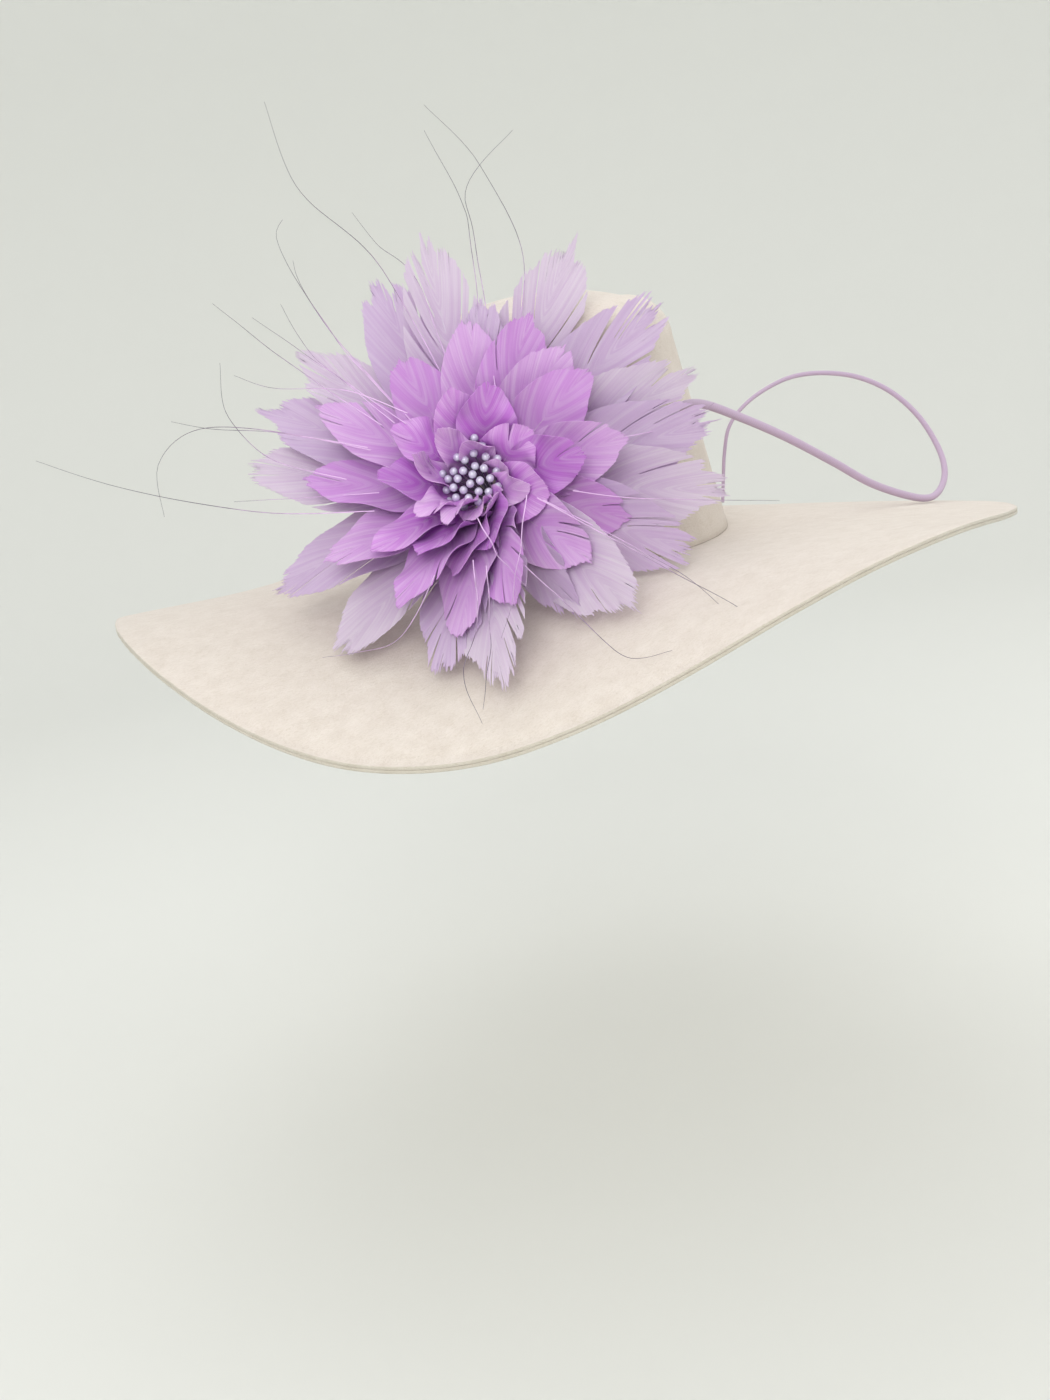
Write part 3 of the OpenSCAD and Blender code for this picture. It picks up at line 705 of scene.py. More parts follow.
def brim_rows(angle, drop, shares):
    found = []
    for share in shares:
        r = mix(crown_edge(angle), rim(angle), share)
        found.append((r, brim_z(r, angle) + drop))
    return found


BRIM_SHARES = steps(0, 0.96, 22)
EDGE_ROUND = 0.2


def edge_rows(angle, top, bottom):
    """The raw cut edge, from its upper corner to its lower one, with both corners slightly rounded"""
    r = rim(angle)
    z = rim_wave(angle)
    middle = (top + bottom) / 2
    return [
        (r - 2.2, z + top), (r - EDGE_ROUND, z + top), (r, z + top - EDGE_ROUND), (r + 0.12, z + middle),
        (r, z + bottom + EDGE_ROUND), (r - EDGE_ROUND, z + bottom), (r - 2.2, z + bottom),
    ]


def upper_section(angle):
    lean = CROWN_LEAN * COLLAR_HEIGHT
    inner = crown_edge(angle, COLLAR_INNER)
    outer = crown_edge(angle, COLLAR_OUTER)
    return (
        [(inner, -BRIM_FELT), (inner - lean / 2, COLLAR_HEIGHT / 2), (inner - lean, COLLAR_HEIGHT)]
        + [(outer - lean, COLLAR_HEIGHT), (outer - lean / 2, COLLAR_HEIGHT / 2), (outer, 0)]
        + brim_rows(angle, 0, BRIM_SHARES)
        + edge_rows(angle, 0, -BRIM_FELT)
        + groove_rows(angle, -BRIM_FELT, WIRE_D / 2 + 0.1)
        + brim_rows(angle, -BRIM_FELT, BRIM_SHARES[::-1])
        + [(inner, -BRIM_FELT)]
    )


def lower_section(angle):
    inner = crown_edge(angle, COLLAR_INNER)
    top = -BRIM_FELT - SEWN_GAP
    bottom = top - BRIM_FELT
    return (
        [(inner, bottom), (inner, top)]
        + brim_rows(angle, top, BRIM_SHARES)
        + groove_rows(angle, top, -WIRE_D / 2 - 0.1)[::-1]
        + edge_rows(angle, top, bottom)
        + brim_rows(angle, bottom, BRIM_SHARES[::-1])
        + [(inner, bottom)]
    )


def build_brim_felt(name, section, finishes, replaced, settings):
    """One of the brim's two felts, as a closed ring whose cut edge has its own finish"""
    columns = [section(math.tau * k / BRIM_COLUMNS) for k in range(BRIM_COLUMNS)]
    rows = len(columns[0])
    widest = max(range(rows), key=lambda row: columns[0][row][0])
    cut_rows = range(widest - 2, widest + 2)

    def place(u, row):
        k = round(u * BRIM_COLUMNS) % BRIM_COLUMNS
        angle = math.tau * k / BRIM_COLUMNS
        r, z = columns[k][row]
        flat = polar(r, angle, 0)
        loose = max(0, min(1, (r - crown_edge(angle)) / 40))
        ragged = 0
        if row in cut_rows:
            ragged = uneven(flat, 3, 0.22) + uneven(flat + Vector((0, 0, z)), 1.1, 0.12)
        return polar(r + ragged, angle, z + loose * uneven(flat, 38, settings.hand_wave))

    bm = bmesh.new()
    size = (math.tau * BRIM_RADIUS, 330)
    add_grid(bm, BRIM_COLUMNS, rows - 1, place, size, lambda row: int(row in cut_rows))
    add_piece(bm, name, finishes, replaced, crease=65)


def build_brim(settings):
    ivory = wool_felt("ivory brim wool felt", settings.ivory, settings)
    under = wool_felt("ivory under-brim wool felt", settings.ivory, settings)
    # The cut edge's darker colour is partly its denser fibre and partly painted shade
    cut = wool_felt("raw cut felt edge with painted shade", settings.cut, settings)
    build_brim_felt("brim_felt_upper", upper_section, [ivory, cut], ["brim_upper"], settings)
    build_brim_felt("brim_felt_lower", lower_section, [under, cut], ["brim_lower"], settings)


# ---- Head ribbon and stitches ----

RIB_PITCH = 1.5


def build_head_ribbon():
    girth = math.pi * (CROWN_WIDTH + CROWN_LENGTH) / 2
    ribs = round(girth / RIB_PITCH)
    high = RIBBON_LOW + RIBBON_HEIGHT
    levels = steps(RIBBON_LOW, high, 6)
    rows = [(RIBBON_OUTER, z) for z in levels] + [(RIBBON_INNER, z) for z in levels[::-1]]
    rows.append(rows[0])

    def place(u, row):
        inset, z = rows[row]
        angle = math.tau * u
        raised = round(u * 2 * ribs) % 2
        swell = 0.16 * raised if inset == RIBBON_INNER else 0
        at_edge = 0.18 * raised * ((z == high) - (z == RIBBON_LOW))
        lean = CROWN_LEAN * (z - RIBBON_LOW)
        return polar(crown_edge(angle, inset + lean + swell), angle, z + at_edge)

    bm = bmesh.new()
    add_grid(bm, 2 * ribs, len(rows) - 1, place, (girth, 2 * RIBBON_HEIGHT))
    add_piece(bm, "petersham_head_ribbon", [ribbed_ribbon("ivory petersham ribbon", linear("#EDE6DA"))],
              ["head_ribbon"], crease=80)


def add_stitch(bm, start, end, out, height):
    """A running stitch that rises from the cloth, lies on it and dives back in"""
    shape = [
        (0, -0.2), (0.04, 0.35), (0.12, 0.9), (0.3, 1.05), (0.5, 1), (0.7, 1.05), (0.88, 0.9), (0.96, 0.35),
        (1, -0.2),
    ]
    points = [start.lerp(end, t) + out * height * (h - 1) for t, h in shape]
    add_tube(bm, points, lambda row, u: THREAD_D / 2 * (0.9 + 0.1 * math.cos(2 * math.tau * u + row)), 10)


def build_stitches(thread):
    """The running stitches round the head ribbon"""
    z = HEAD_STITCH_Z
    lean = CROWN_LEAN * (z - RIBBON_LOW)
    inset = RIBBON_INNER + lean + THREAD_D / 2 + 0.25
    bm = bmesh.new()
    for k in range(HEAD_STITCHES):
        angle = math.radians(360 / HEAD_STITCHES * k)
        r = crown_edge(angle, inset)
        half = STITCH_LENGTH / 2 / r
        ends = [polar(crown_edge(a, inset), a, z) for a in (angle - half, angle + half)]
        add_stitch(bm, ends[0], ends[1], polar(-1, angle, 0), THREAD_D / 2)
    add_piece(bm, "head_running_stitches", [thread], ["head_stitches"])


# ---- Flower base and binding ----


def crown_normal(bearing):
    x = math.cos(bearing) / (CROWN_WIDTH / 2) ** 2
    y = math.sin(bearing) / (CROWN_LENGTH / 2) ** 2
    flat = Vector((x, y, 0)).normalized()
    return Vector((flat.x, flat.y, CROWN_LEAN)).normalized()


def disc_point(r, a, out):
    """A point of the disc that lies on the crown's side, from its distance and direction"""
    bearing = FLOWER_BEARING + r * math.cos(a) * 2 / ((CROWN_WIDTH + CROWN_LENGTH) / 2)
    return crown_point(bearing, FLOWER_HEIGHT + r * math.sin(a), out)


def build_flower_base(settings):
    reach = BASE_D / 2
    back = [(reach * i / 8, SEWN_GAP) for i in range(8)]
    front = [(reach * i / 8, SEWN_GAP + BASE_THICKNESS) for i in range(7, -1, -1)]
    edge = [
        (reach - 0.6, SEWN_GAP), (reach, SEWN_GAP + 0.6), (reach, SEWN_GAP + BASE_THICKNESS - 0.6),
        (reach - 0.6, SEWN_GAP + BASE_THICKNESS),
    ]
    rows = back + edge + front

    def place(u, row):
        r, out = rows[row]
        ragged = uneven(Vector((10 * math.cos(math.tau * u), 10 * math.sin(math.tau * u), out)), 1.5, 0.25)
        return disc_point(r + (ragged if r > reach - 1 else 0), math.tau * u, out)

    bm = bmesh.new()
    add_grid(bm, 96, len(rows) - 1, place, (math.pi * BASE_D, BASE_D))
    add_piece(bm, "flower_felt_disc", [wool_felt("flower base wool felt", settings.ivory, settings)],
              ["flower_base"])


def build_base_stitches(thread):
    out = SEWN_GAP * 2 + BASE_THICKNESS + THREAD_D / 2
    reach = BASE_D / 2 - 3
    bm = bmesh.new()
    for k in range(DISC_STITCHES):
        a = math.tau * (k + 0.5) / DISC_STITCHES
        add_stitch(bm, disc_point(reach - 1.5, a, out), disc_point(reach + 1.5, a, out),
                   crown_normal(FLOWER_BEARING), THREAD_D / 2)
    add_piece(bm, "disc_whip_stitches", [thread], ["base_stitches"])


def build_binding():
    """The thread wound round the feather stems, in turns that lie side by side"""
    foot_out = SEWN_GAP * 2 + BASE_THICKNESS
    foot = crown_point(FLOWER_BEARING, FLOWER_HEIGHT, foot_out)
    start = foot + crown_normal(FLOWER_BEARING) * 0.8
    route = smooth_route([start, foot.lerp(FLOWER_CENTRE, 0.5), FLOWER_CENTRE + FACING * 1.5], 60)
    count = 120
    points = even_route(route, count + 1)

    def radius(row, u):
        share = row / count
        body = BINDING_D / 2 * lookup([(0, 0.7), (0.45, 1), (1, 1)], share)
        return body - 0.22 * (1 + math.cos(math.tau * (row / 8 - u)))

    bm = bmesh.new()
    add_tube(bm, points, radius, 40)
    add_piece(bm, "stem_thread_binding", [twisted_thread("lilac binding thread", linear("#C4A5CC"), 0.5)],
              ["flower_binding"])


# ---- Feathers ----

# A ring of feathers of one kind. fray is the share by which barbs stand out at the tip, tuft the barbs in
# one tuft, split the chance of a slit beside it, ruffle the wave of its edge in mm and curl that of its tip.
# foot and root are the root's distance from the flower's axis and its height
Ring = namedtuple("Ring", "width foot root bulge lean cupping barbs tuft fray split ruffle curl shaft")
OUTER_RING = Ring(43, 8, -2, 12, 22, 0.1, 130, (5, 22), 0.06, 0.35, 1.8, 10, 0.62)
MIDDLE_RING = Ring(34, 8, 5, 12, 26, 0.14, 96, (8, 24), 0.035, 0.25, 2.4, 16, 0.55)
INNER_RING = Ring(29, 12, 12, 12, 27, 0.2, 72, (8, 22), 0.03, 0.2, 3, 30, 0.46)
CENTRE_RING = Ring(17, 10, 20, 6, 26, 0.3, 48, (6, 16), 0.03, 0.2, 3, 60, 0.36)
TIP_CLEARANCE = 7
FILAMENT_CLEARANCE = 1.5
# Outer feathers that are narrower than the rest, and by what share
NARROW = (1, 9)
NARROW_SHARE = 0.7
VANE_COLUMNS = 8
# How steeply barbs sweep from the shaft towards the tip
BARB_SWEEP = 2.6


def vane_half(t):
    """Half-width of a vane along its length, as a share of the widest place"""
    return max(math.sin(math.pi * min(max(t, 0), 1) ** 1.3), 0) ** 0.6


def bend(a, b, c, t):
    return mix(mix(a, b, t), mix(b, c, t), t)


class Vane:
    """The curved surface that one feather lies in"""

    def __init__(self, spot, ring, root, bulge, lean, width, chance):
        turn, reach, rise = spot
        angle = math.radians(turn)
        self.ring = ring
        self.width = width
        self.reach = reach
        self.lean = math.radians(lean)
        self.out = RIGHTWARD * math.cos(angle) + UPWARD * math.sin(angle)
        self.across = UPWARD * math.cos(angle) - RIGHTWARD * math.sin(angle)
        self.ends = (Vector(root), Vector((reach * 0.45, rise * 0.5 + bulge)), Vector((reach, rise)))
        self.phase = chance.uniform(0, math.tau)
        self.waves = chance.uniform(1.3, 2.6)
        self.curl = ring.curl * chance.uniform(-0.5, 1)
        self.twist = chance.uniform(-0.3, 0.3)
        self.drift = Vector([chance.uniform(0, 90) for _ in range(3)])

    def point(self, t, x):
        """The point at share t from root to tip, x mm to the side of the shaft"""
        a, b, c = self.ends
        p = bend(a, b, c, t)
        d = mix(b - a, c - b, t).normalized()
        face = FACING * d.x - self.out * d.y
        lean = self.lean + self.twist * (t - 0.3)
        side = self.across * math.cos(lean) + face * math.sin(lean)
        lift = face * math.cos(lean) - self.across * math.sin(lean)
        edge = x / (self.width / 2)
        bow = self.ring.cupping * x * edge
        wave = self.ring.ruffle * edge * abs(edge) * math.sin(math.tau * self.waves * t + self.phase)
        tip = self.curl * max(t - 0.55, 0) ** 2
        soft = 1.4 * min(1, 2 * t) * noise.noise((p.x * self.out + x * self.across) / 22 + self.drift)
        centre = FLOWER_CENTRE + p.x * self.out + p.y * FACING
        return centre + side * x + lift * (bow + wave + tip + soft)


def make_tufts(ring, chance):
    """For each barb of one side: how far it stands out, the middle of its tuft, and the slit after it"""
    barbs = []
    stand = chance.uniform(-0.5, 0.5)
    while len(barbs) <= ring.barbs:
        size = chance.randint(*ring.tuft)
        first = len(barbs)
        following = chance.uniform(-0.8, 0.8)
        slit = chance.uniform(0.3, 0.8) if chance.random() < ring.split else 1
        for k in range(size):
            smooth = 0.5 - 0.5 * math.cos(math.pi * k / size)
            over = ring.fray * (mix(stand, following, smooth) + 0.35 * chance.uniform(-1, 1))
            barbs.append((over, first + (size - 1) / 2, slit if k == size - 1 else 2, slit))
        stand = following
    return barbs


def add_vane(bm, vane, chance, thickness):
    """A vane as a grid whose columns are barbs, slit into tufts at its edges and then given its thickness"""
    ring = vane.ring
    sides = [make_tufts(ring, chance), make_tufts(ring, chance)]
    reach = bm.verts.layers.float.new("reach")
    streak = bm.verts.layers.float.new("streak")
    uv = bm.loops.layers.uv.new("UVMap")
    tones = [[chance.random() ** 2 for _ in range(ring.barbs + 1)] for _ in sides]
    bmesh.ops.create_grid(bm, x_segments=ring.barbs, y_segments=2 * VANE_COLUMNS, size=0.5)
    slits = []
    for face in bm.faces:
        centre = face.calc_center_median()
        barb = int((centre.x + 0.5) * ring.barbs)
        if abs(centre.y) * 2 > sides[centre.y > 0][barb][2]:
            slits.append(face)
        for loop in face.loops:
            loop[uv].uv = ((loop.vert.co.x + 0.5) * vane.reach, loop.vert.co.y * vane.width)
    bmesh.ops.delete(bm, geom=slits, context="FACES")
    for vert in bm.verts:
        root = vert.co.x + 0.5
        side = vert.co.y > 0
        h = abs(vert.co.y) * 2
        barb = round(root * ring.barbs)
        over, middle, _, slit = sides[side][barb]
        # Free ends of a tuft draw together, which tapers it
        free = max(0, h - slit) / (1 - slit) if slit < 1 else 0
        drawn = mix(root, middle / ring.barbs, 0.25 * free)
        end = 1 - (1 - min(drawn, 1)) ** BARB_SWEEP
        weight = 0.12 + 0.88 * max(0, 2 * end - 1) ** 1.5
        stretch = 1 + 0.5 * over * weight * h
        t = root + (end - root) * h ** 1.5 + over * weight * h ** 3
        x = h * max(vane.width / 2 * vane_half(end), 0.5) * stretch
        # The rim is paled like the tip: at the tip this is the dye, along the rim it is a painted highlight on
        # the curled edge
        vert[reach] = min(max(t, 0) + 0.35 * h ** 5, 1)
        vert[streak] = tones[side][barb] * min(1, 2 * h)
        vert.co = vane.point(t, x if side else -x) * MM
    # The second face is the first one, drawn out along its own normals
    stand = bm.verts.layers.float_vector.new("stand")
    bm.normal_update()
    for vert in bm.verts:
        vert[stand] = vert.normal * thickness * MM
    drawn_out = bmesh.ops.extrude_face_region(bm, geom=bm.faces[:], use_keep_orig=True)["geom"]
    for vert in drawn_out:
        if isinstance(vert, bmesh.types.BMVert):
            vert.co += vert[stand]
    bm.verts.layers.float_vector.remove(stand)


SHAFT_ROWS = 18


def build_feather(vane, chance, thickness):
    """One feather: its slit vane with the tapered shaft lying in it"""
    bm = bmesh.new()
    add_vane(bm, vane, chance, thickness)
    reach = bm.verts.layers.float["reach"]
    bound = FLOWER_CENTRE + vane.out * BINDING_D * 0.35 + FACING
    points = [bound] + [vane.point(t, 0) for t in steps(0, 0.94, SHAFT_ROWS)]
    shaft = add_tube(bm, points, lambda row, u: vane.ring.shaft * (1 - 0.8 * row / SHAFT_ROWS), 6, finish=1)
    for vert in shaft:
        vert[reach] = 0.5
    return bm


def grow(ring, spot, chance, thickness, rise=0, bulge=0, lean=0, share=1):
    """A feather of a ring, with what it adds to its root's rise, bulge and lean, and its share of width"""
    root = (ring.foot, ring.root + rise)
    vane = Vane(spot, ring, root, ring.bulge + bulge, ring.lean + lean, ring.width * share, chance)
    return build_feather(vane, chance, thickness)


def dye_lots(name, root_dye_and_shade, body, tips, glow):
    """Two lots of one dye, whose tips differ"""
    return [
        dyed_feather(f"{name} {k + 1}", root_dye_and_shade, body, linear(tip), glow) for k, tip in enumerate(tips)
    ]


def build_ring(ring, spots, prefix, replaced, dyes, shaft, settings, vary=lambda i: ()):
    """One ring of feathers. vary(i) is what a feather adds, as grow takes it"""
    for i, spot in enumerate(spots):
        chance = random.Random(settings.seed * 1000 + len(spots) * 50 + i)
        bm = grow(ring, spot, chance, settings.thickness, *vary(i))
        finishes = [dyes[i % len(dyes)], shaft]
        add_piece(bm, f"{prefix}_{i + 1:02d}", finishes, [f"{replaced}_{i + 1:02d}"], crease=70)


def build_outer(settings):
    shaft = feather_shaft("pale outer feather shaft", linear("#E6D9EE"))
    tips = ("#E6DCE8", "#DCC8E4")
    # The first colour is the roots': partly dye, partly painted shade between the crowded feathers
    dyes = dye_lots("lilac dyed feather", linear("#C995D5"), settings.outer, tips, 0.35)
    spots = [rested(spot, TIP_CLEARANCE) for spot in OUTER]
    build_ring(OUTER_RING, spots, "outer_plume", "outer_feather", dyes, shaft, settings,
               lambda i: (0, 2 * (i % 2), 0, NARROW_SHARE if i in NARROW else 1))


def build_middle(settings):
    shaft = feather_shaft("orchid middle feather shaft", linear("#E3C0EA"))
    tips = ("#E3BAEB", "#D8A0E4")
    # The first colour is the roots': partly dye, partly painted shade between the crowded feathers
    dyes = dye_lots("orchid dyed feather", linear("#A746B8"), settings.middle, tips, 0.2)
    build_ring(MIDDLE_RING, MIDDLE, "middle_plume", "middle_feather", dyes, shaft, settings)


def build_inner(settings):
    shaft = feather_shaft("orchid inner petal shaft", linear("#E6B4EE"))
    tips = ("#E2AAEC", "#D28EE2")
    dyes = dye_lots("deep orchid dyed petal", settings.root_dye_and_shade, settings.inner, tips, 0.16)
    build_ring(INNER_RING, INNER, "inner_plume", "inner_petal", dyes, shaft, settings,
               lambda i: (2 * (i % 3), 0, 4 * math.sin(math.radians(i * 83))))


def build_centre(settings):
    """The curled petals round the stamens, which are one piece"""
    shaft = feather_shaft("curled petal shaft", linear("#EBC4F0"))
    dye = dyed_feather("curled orchid dyed petal", settings.root_dye_and_shade, settings.centre, linear("#F0C8F5"), 0.2)
    whole = bmesh.new()
    scrap = bpy.data.meshes.new("curled petal")
    for i, spot in enumerate(CENTRE):
        chance = random.Random(settings.seed * 1000 + i)
        bm = grow(CENTRE_RING, spot, chance, settings.thickness)
        bmesh.ops.recalc_face_normals(bm, faces=bm.faces[:])
        bm.to_mesh(scrap)
        bm.free()
        whole.from_mesh(scrap)
    bpy.data.meshes.remove(scrap)
    add_piece(whole, "curled_centre_petals", [dye, shaft], ["centre_petals"], crease=70)


# ---- Stamens ----

GOLDEN_TURN = math.radians(137.508)


def stamen_at(i):
    """Place of a pearl in the flower: a sunflower spiral, looser and taller at the top"""
    r = PEARL_D * 0.66 * math.sqrt(i + 0.5)
    x = r * math.cos(GOLDEN_TURN * i)
    y = r * math.sin(GOLDEN_TURN * i)
    loose = max(y - 3, 0)
    rise = STAMEN_HEIGHT - 0.03 * r * r + 0.3 * loose + 0.8 * math.sin(math.radians(i * 97))
    return x * 1.02, y + 0.35 * loose, rise


def stamen_radius(row, u):
    return THREAD_D / 2 * (0.92 + 0.08 * math.cos(row * 2 + 2 * math.tau * u))


def build_stamens(settings):
    """Each pearl has a small neck where it was dipped, and stands on its own waxed thread"""
    pearls = bmesh.new()
    threads = bmesh.new()
    pearls.loops.layers.uv.verify()
    for i in range(PEARL_COUNT):
        x, y, rise = stamen_at(i)
        head = in_flower(x, y, rise)
        foot = in_flower(x * 0.26, y * 0.26, 2.2)
        down = (foot - head).normalized()
        turned = down.to_track_quat("Z", "Y").to_matrix().to_4x4()
        ball = bmesh.ops.create_uvsphere(pearls, u_segments=24, v_segments=16, radius=PEARL_D / 2)
        for vert in ball["verts"]:
            neck = max(0, vert.co.z / (PEARL_D / 2) - 0.8)
            vert.co *= 1 + uneven(vert.co + Vector((9 * i, 0, 0)), 1.6, 0.03)
            vert.co.z += 0.9 * neck
            vert.co = (head + turned @ vert.co) * MM
        middle = foot.lerp(head, 0.5) + RIGHTWARD * 0.5 * math.sin(2.4 * i)
        points = smooth_route([foot, middle, head + down * (PEARL_D / 2 + 0.2)], 8)
        add_tube(threads, points, stamen_radius, 8)
    add_piece(pearls, "pearl_stamen_heads", [lacquered_pearl("lilac nacre lacquer", settings.pearl)],
              ["stamen_pearls"], crease=89)
    waxed = twisted_thread("waxed stamen thread", linear("#8E7FA8"), 0.5)
    add_piece(threads, "stamen_waxed_threads", [waxed], ["stamen_threads"])


# ---- Quill ----

# Rows of the winding's inner face, which is smooth, and the turns of thread in a tie
INNER_ROWS = 240
TIE_TURNS = 3


def quill_point(right, back, up):
    x = FLOWER_CENTRE.x + right
    y = FLOWER_CENTRE.y + back
    return x, y, over_brim(x, y) + up


def quill_radius(share):
    return mix(QUILL_THIN_D, QUILL_THICK_D, lookup(QUILL_TAPER, share)) / 2


def build_quill(settings):
    """Thread wound side by side round the quill, as a ribbed sleeve, and the ties that hold its ends"""
    route = smooth_route([quill_point(*stop) for stop in QUILL], 12)
    length = sum((b - a).length for a, b in zip(route, route[1:]))
    pitch = settings.thread_pitch / MM
    count = round(5 * length / pitch)
    spaced = even_route(route, count + 1)
    inner = even_route(route, INNER_ROWS + 1)[::-1]
    points = spaced + inner
    axes = directions(spaced) + directions(inner[::-1])[::-1]
    # Thickness follows the route's own points, as the part has it
    last = len(route) - 1
    shares = [(k + share) / last for k, share in even_stops(route, count + 1)]
    inner_shares = [(k + share) / last for k, share in even_stops(route, INNER_ROWS + 1)][::-1]

    def place(u, row):
        row = row % len(points)
        _, side, lift = axes[row]
        turn = math.tau * u
        if row <= count:
            phase = length * row / count / pitch - u
            rib = 0.2 * abs(math.sin(math.pi * phase)) ** 0.7 - 0.2
            r = quill_radius(shares[row]) + rib
        else:
            r = quill_radius(inner_shares[row - count - 1]) - WINDING
        return points[row] + r * (side * math.cos(turn) + lift * math.sin(turn))

    bm = bmesh.new()
    add_grid(bm, 14, len(points), place, (math.pi * QUILL_THICK_D, 2 * length))
    thread = twisted_thread("lilac quill thread", settings.quill, 0.4)
    add_piece(bm, "quill_thread_winding", [thread], ["quill_wrap"], crease=80)
    ties = bmesh.new()
    for index in (12, 24, 36, last - 6):
        heading, side, lift = directions(route)[index]
        r = quill_radius(index / last) + THREAD_D * 0.3
        loop = []
        for k in range(TIE_TURNS * 20 + 1):
            turn = math.tau * k / 20
            along = heading * (k / 20 - TIE_TURNS / 2) * THREAD_D * 0.8
            loop.append(route[index] + along + r * (side * math.cos(turn) + lift * math.sin(turn)))
        add_tube(ties, loop, lambda row, u: THREAD_D * 0.4, 8)
    add_piece(ties, "quill_tie_threads", [thread], ["quill_ties"])


# ---- Filaments ----

FILAMENT_ROWS = 39
# How far from the flower's centre a filament is at its darkest, painted shade
DARK_REACH = 190


def build_filaments(settings):
    bm = bmesh.new()
    reach = bm.verts.layers.float.new("reach")
    for k, route in enumerate(FILAMENTS):
        points = smooth_route([flower_point(*rested(stop, FILAMENT_CLEARANCE)) for stop in route], 8)
        points = even_route(points, FILAMENT_ROWS + 1)
        axes = directions(points)
        for i, point in enumerate(points):
            sway = 0.5 * math.sin(0.4 * i + k) * math.sin(math.pi * i / FILAMENT_ROWS)
            point += axes[i][1] * sway
        made = add_tube(bm, points, lambda row, u: FILAMENT_D * 0.38 * (1 - 0.7 * row / FILAMENT_ROWS), 6)
        for vert in made:
            vert[reach] = min(1, (vert.co / MM - FLOWER_CENTRE).length / DARK_REACH)
    # Pale root colour is painted highlight, the dark tip colour painted shade
    hair = stripped_hair("stripped feather hair", linear("#E3BFEA"), settings.hair)
    add_piece(bm, "feather_filaments", [hair], ["filaments"])


# ---- Solids that stay as they are ----


def dress_solid(node, finish):
    """Gives a solid that shows as it is its finish"""
    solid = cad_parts[node]
    solid.data.materials.clear()
    solid.data.materials.append(finish)


def build_hidden():
    wire = drawn_steel("drawn millinery wire", linear("#B8B8B8"), 0.35)
    dress_solid("brim_wire", wire)
    dress_solid("wire_joiner", drawn_steel("pressed steel sleeve", linear("#9C9C9C"), 0.45))
    dress_solid("quill_core", feather_shaft("curled quill", linear("#CBB9C9")))


# ---- Stage ----

# How the hat sits before the level camera: where its head opening is, and its turn, pitch and roll
HAT_PLACE = (22.5, 823.2, -25.5)
HAT_TURN = 25
HAT_PITCH = 7
HAT_ROLL = -8.5
CAMERA_DIP = 8.07
LENS = 37.03


def place_camera():
    hat = (
        Matrix.Translation(Vector(HAT_PLACE) * MM)
        @ Matrix.Rotation(math.radians(HAT_ROLL), 4, "Y")
        @ Matrix.Rotation(math.radians(HAT_PITCH), 4, "X")
        @ Matrix.Rotation(math.radians(HAT_TURN), 4, "Z")
    )
    data = bpy.data.cameras.new("studio camera")
    data.lens = LENS
    data.sensor_width = 36
    camera = bpy.data.objects.new("studio_camera", data)
    bpy.context.scene.collection.objects.link(camera)
    camera.matrix_world = hat.inverted() @ Matrix.Rotation(math.radians(90 - CAMERA_DIP), 4, "X")
    bpy.context.scene.camera = camera


def add_lamp(name, place, target, size, power):
    data = bpy.data.lights.new(name, "AREA")
    data.shape = "DISK"
    data.size = size
    data.energy = power
    lamp = bpy.data.objects.new(name, data)
    bpy.context.scene.collection.objects.link(lamp)
    lamp.location = place
    lamp.rotation_euler = (Vector(target) - Vector(place)).to_track_quat("-Z", "Y").to_euler()


def build_stage(settings):
    """A pale bowl of a floor that curves up into the wall. It shows from inside only"""
    bm = bmesh.new()
    flat, curve = 1.5, 1.1
    bowl = [(0, 0), (flat, 0)] + [
        (flat + curve * math.sin(a), curve * (1 - math.cos(a))) for a in steps(0, math.pi / 2, 12)[1:]
    ] + [(2.6, 2.6)]
    verts = [bm.verts.new((r, 0, z - settings.floor_drop)) for r, z in bowl]
    edges = [bm.edges.new(pair) for pair in zip(verts, verts[1:])]
    bmesh.ops.spin(
        bm, geom=verts + edges, cent=(0, 0, 0), axis=(0, 0, 1), angle=math.tau, steps=96, use_merge=True
    )
    bmesh.ops.remove_doubles(bm, verts=bm.verts[:], dist=1e-5)
    bmesh.ops.recalc_face_normals(bm, faces=bm.faces[:])
    low = min(bm.faces, key=lambda face: face.calc_center_median().z)
    if low.normal.z < 0:
        bmesh.ops.reverse_faces(bm, faces=bm.faces[:])
    for face in bm.faces:
        face.smooth = True
    mesh = bpy.data.meshes.new("studio_floor")
    bm.to_mesh(mesh)
    bm.free()
    floor = bpy.data.objects.new("studio_floor", mesh)
    bpy.context.scene.collection.objects.link(floor)
    material, tree, shader = new_finish("matt pale floor", {
        "Base Color": rgba(settings.floor), "Roughness": 0.95, "Specular IOR Level": 0.1,
    })
    behind = add(tree, "NewGeometry").outputs["Backfacing"]
    clear = add(tree, "BsdfTransparent")
    one_sided = add(tree, "MixShader", None, {0: behind, 1: shader, 2: clear})
    tree.links.new(one_sided.outputs[0], tree.nodes["Material Output"].inputs["Surface"])
    mesh.materials.append(material)
    world = bpy.data.worlds.new("pale studio")
    world.use_nodes = True
    sky = world.node_tree.nodes["Background"]
    sky.inputs["Color"].default_value = (1, 1, 1, 1)
    sky.inputs["Strength"].default_value = settings.sky
    bpy.context.scene.world = world
    add_lamp("key_softbox", (-1.0, -1.5, 0.9), (0, 0, 0), 1.2, settings.key)
    add_lamp("side_softbox", (1.5, -0.7, 0.9), (0, 0, 0), 1.2, settings.fill)
    add_lamp("top_softbox", (0.1, 0.6, 1.7), (0, 0, 0), 1.4, settings.fill)
    bpy.context.scene.view_settings.view_transform = "Standard"
    place_camera()


# ---- Operators ----


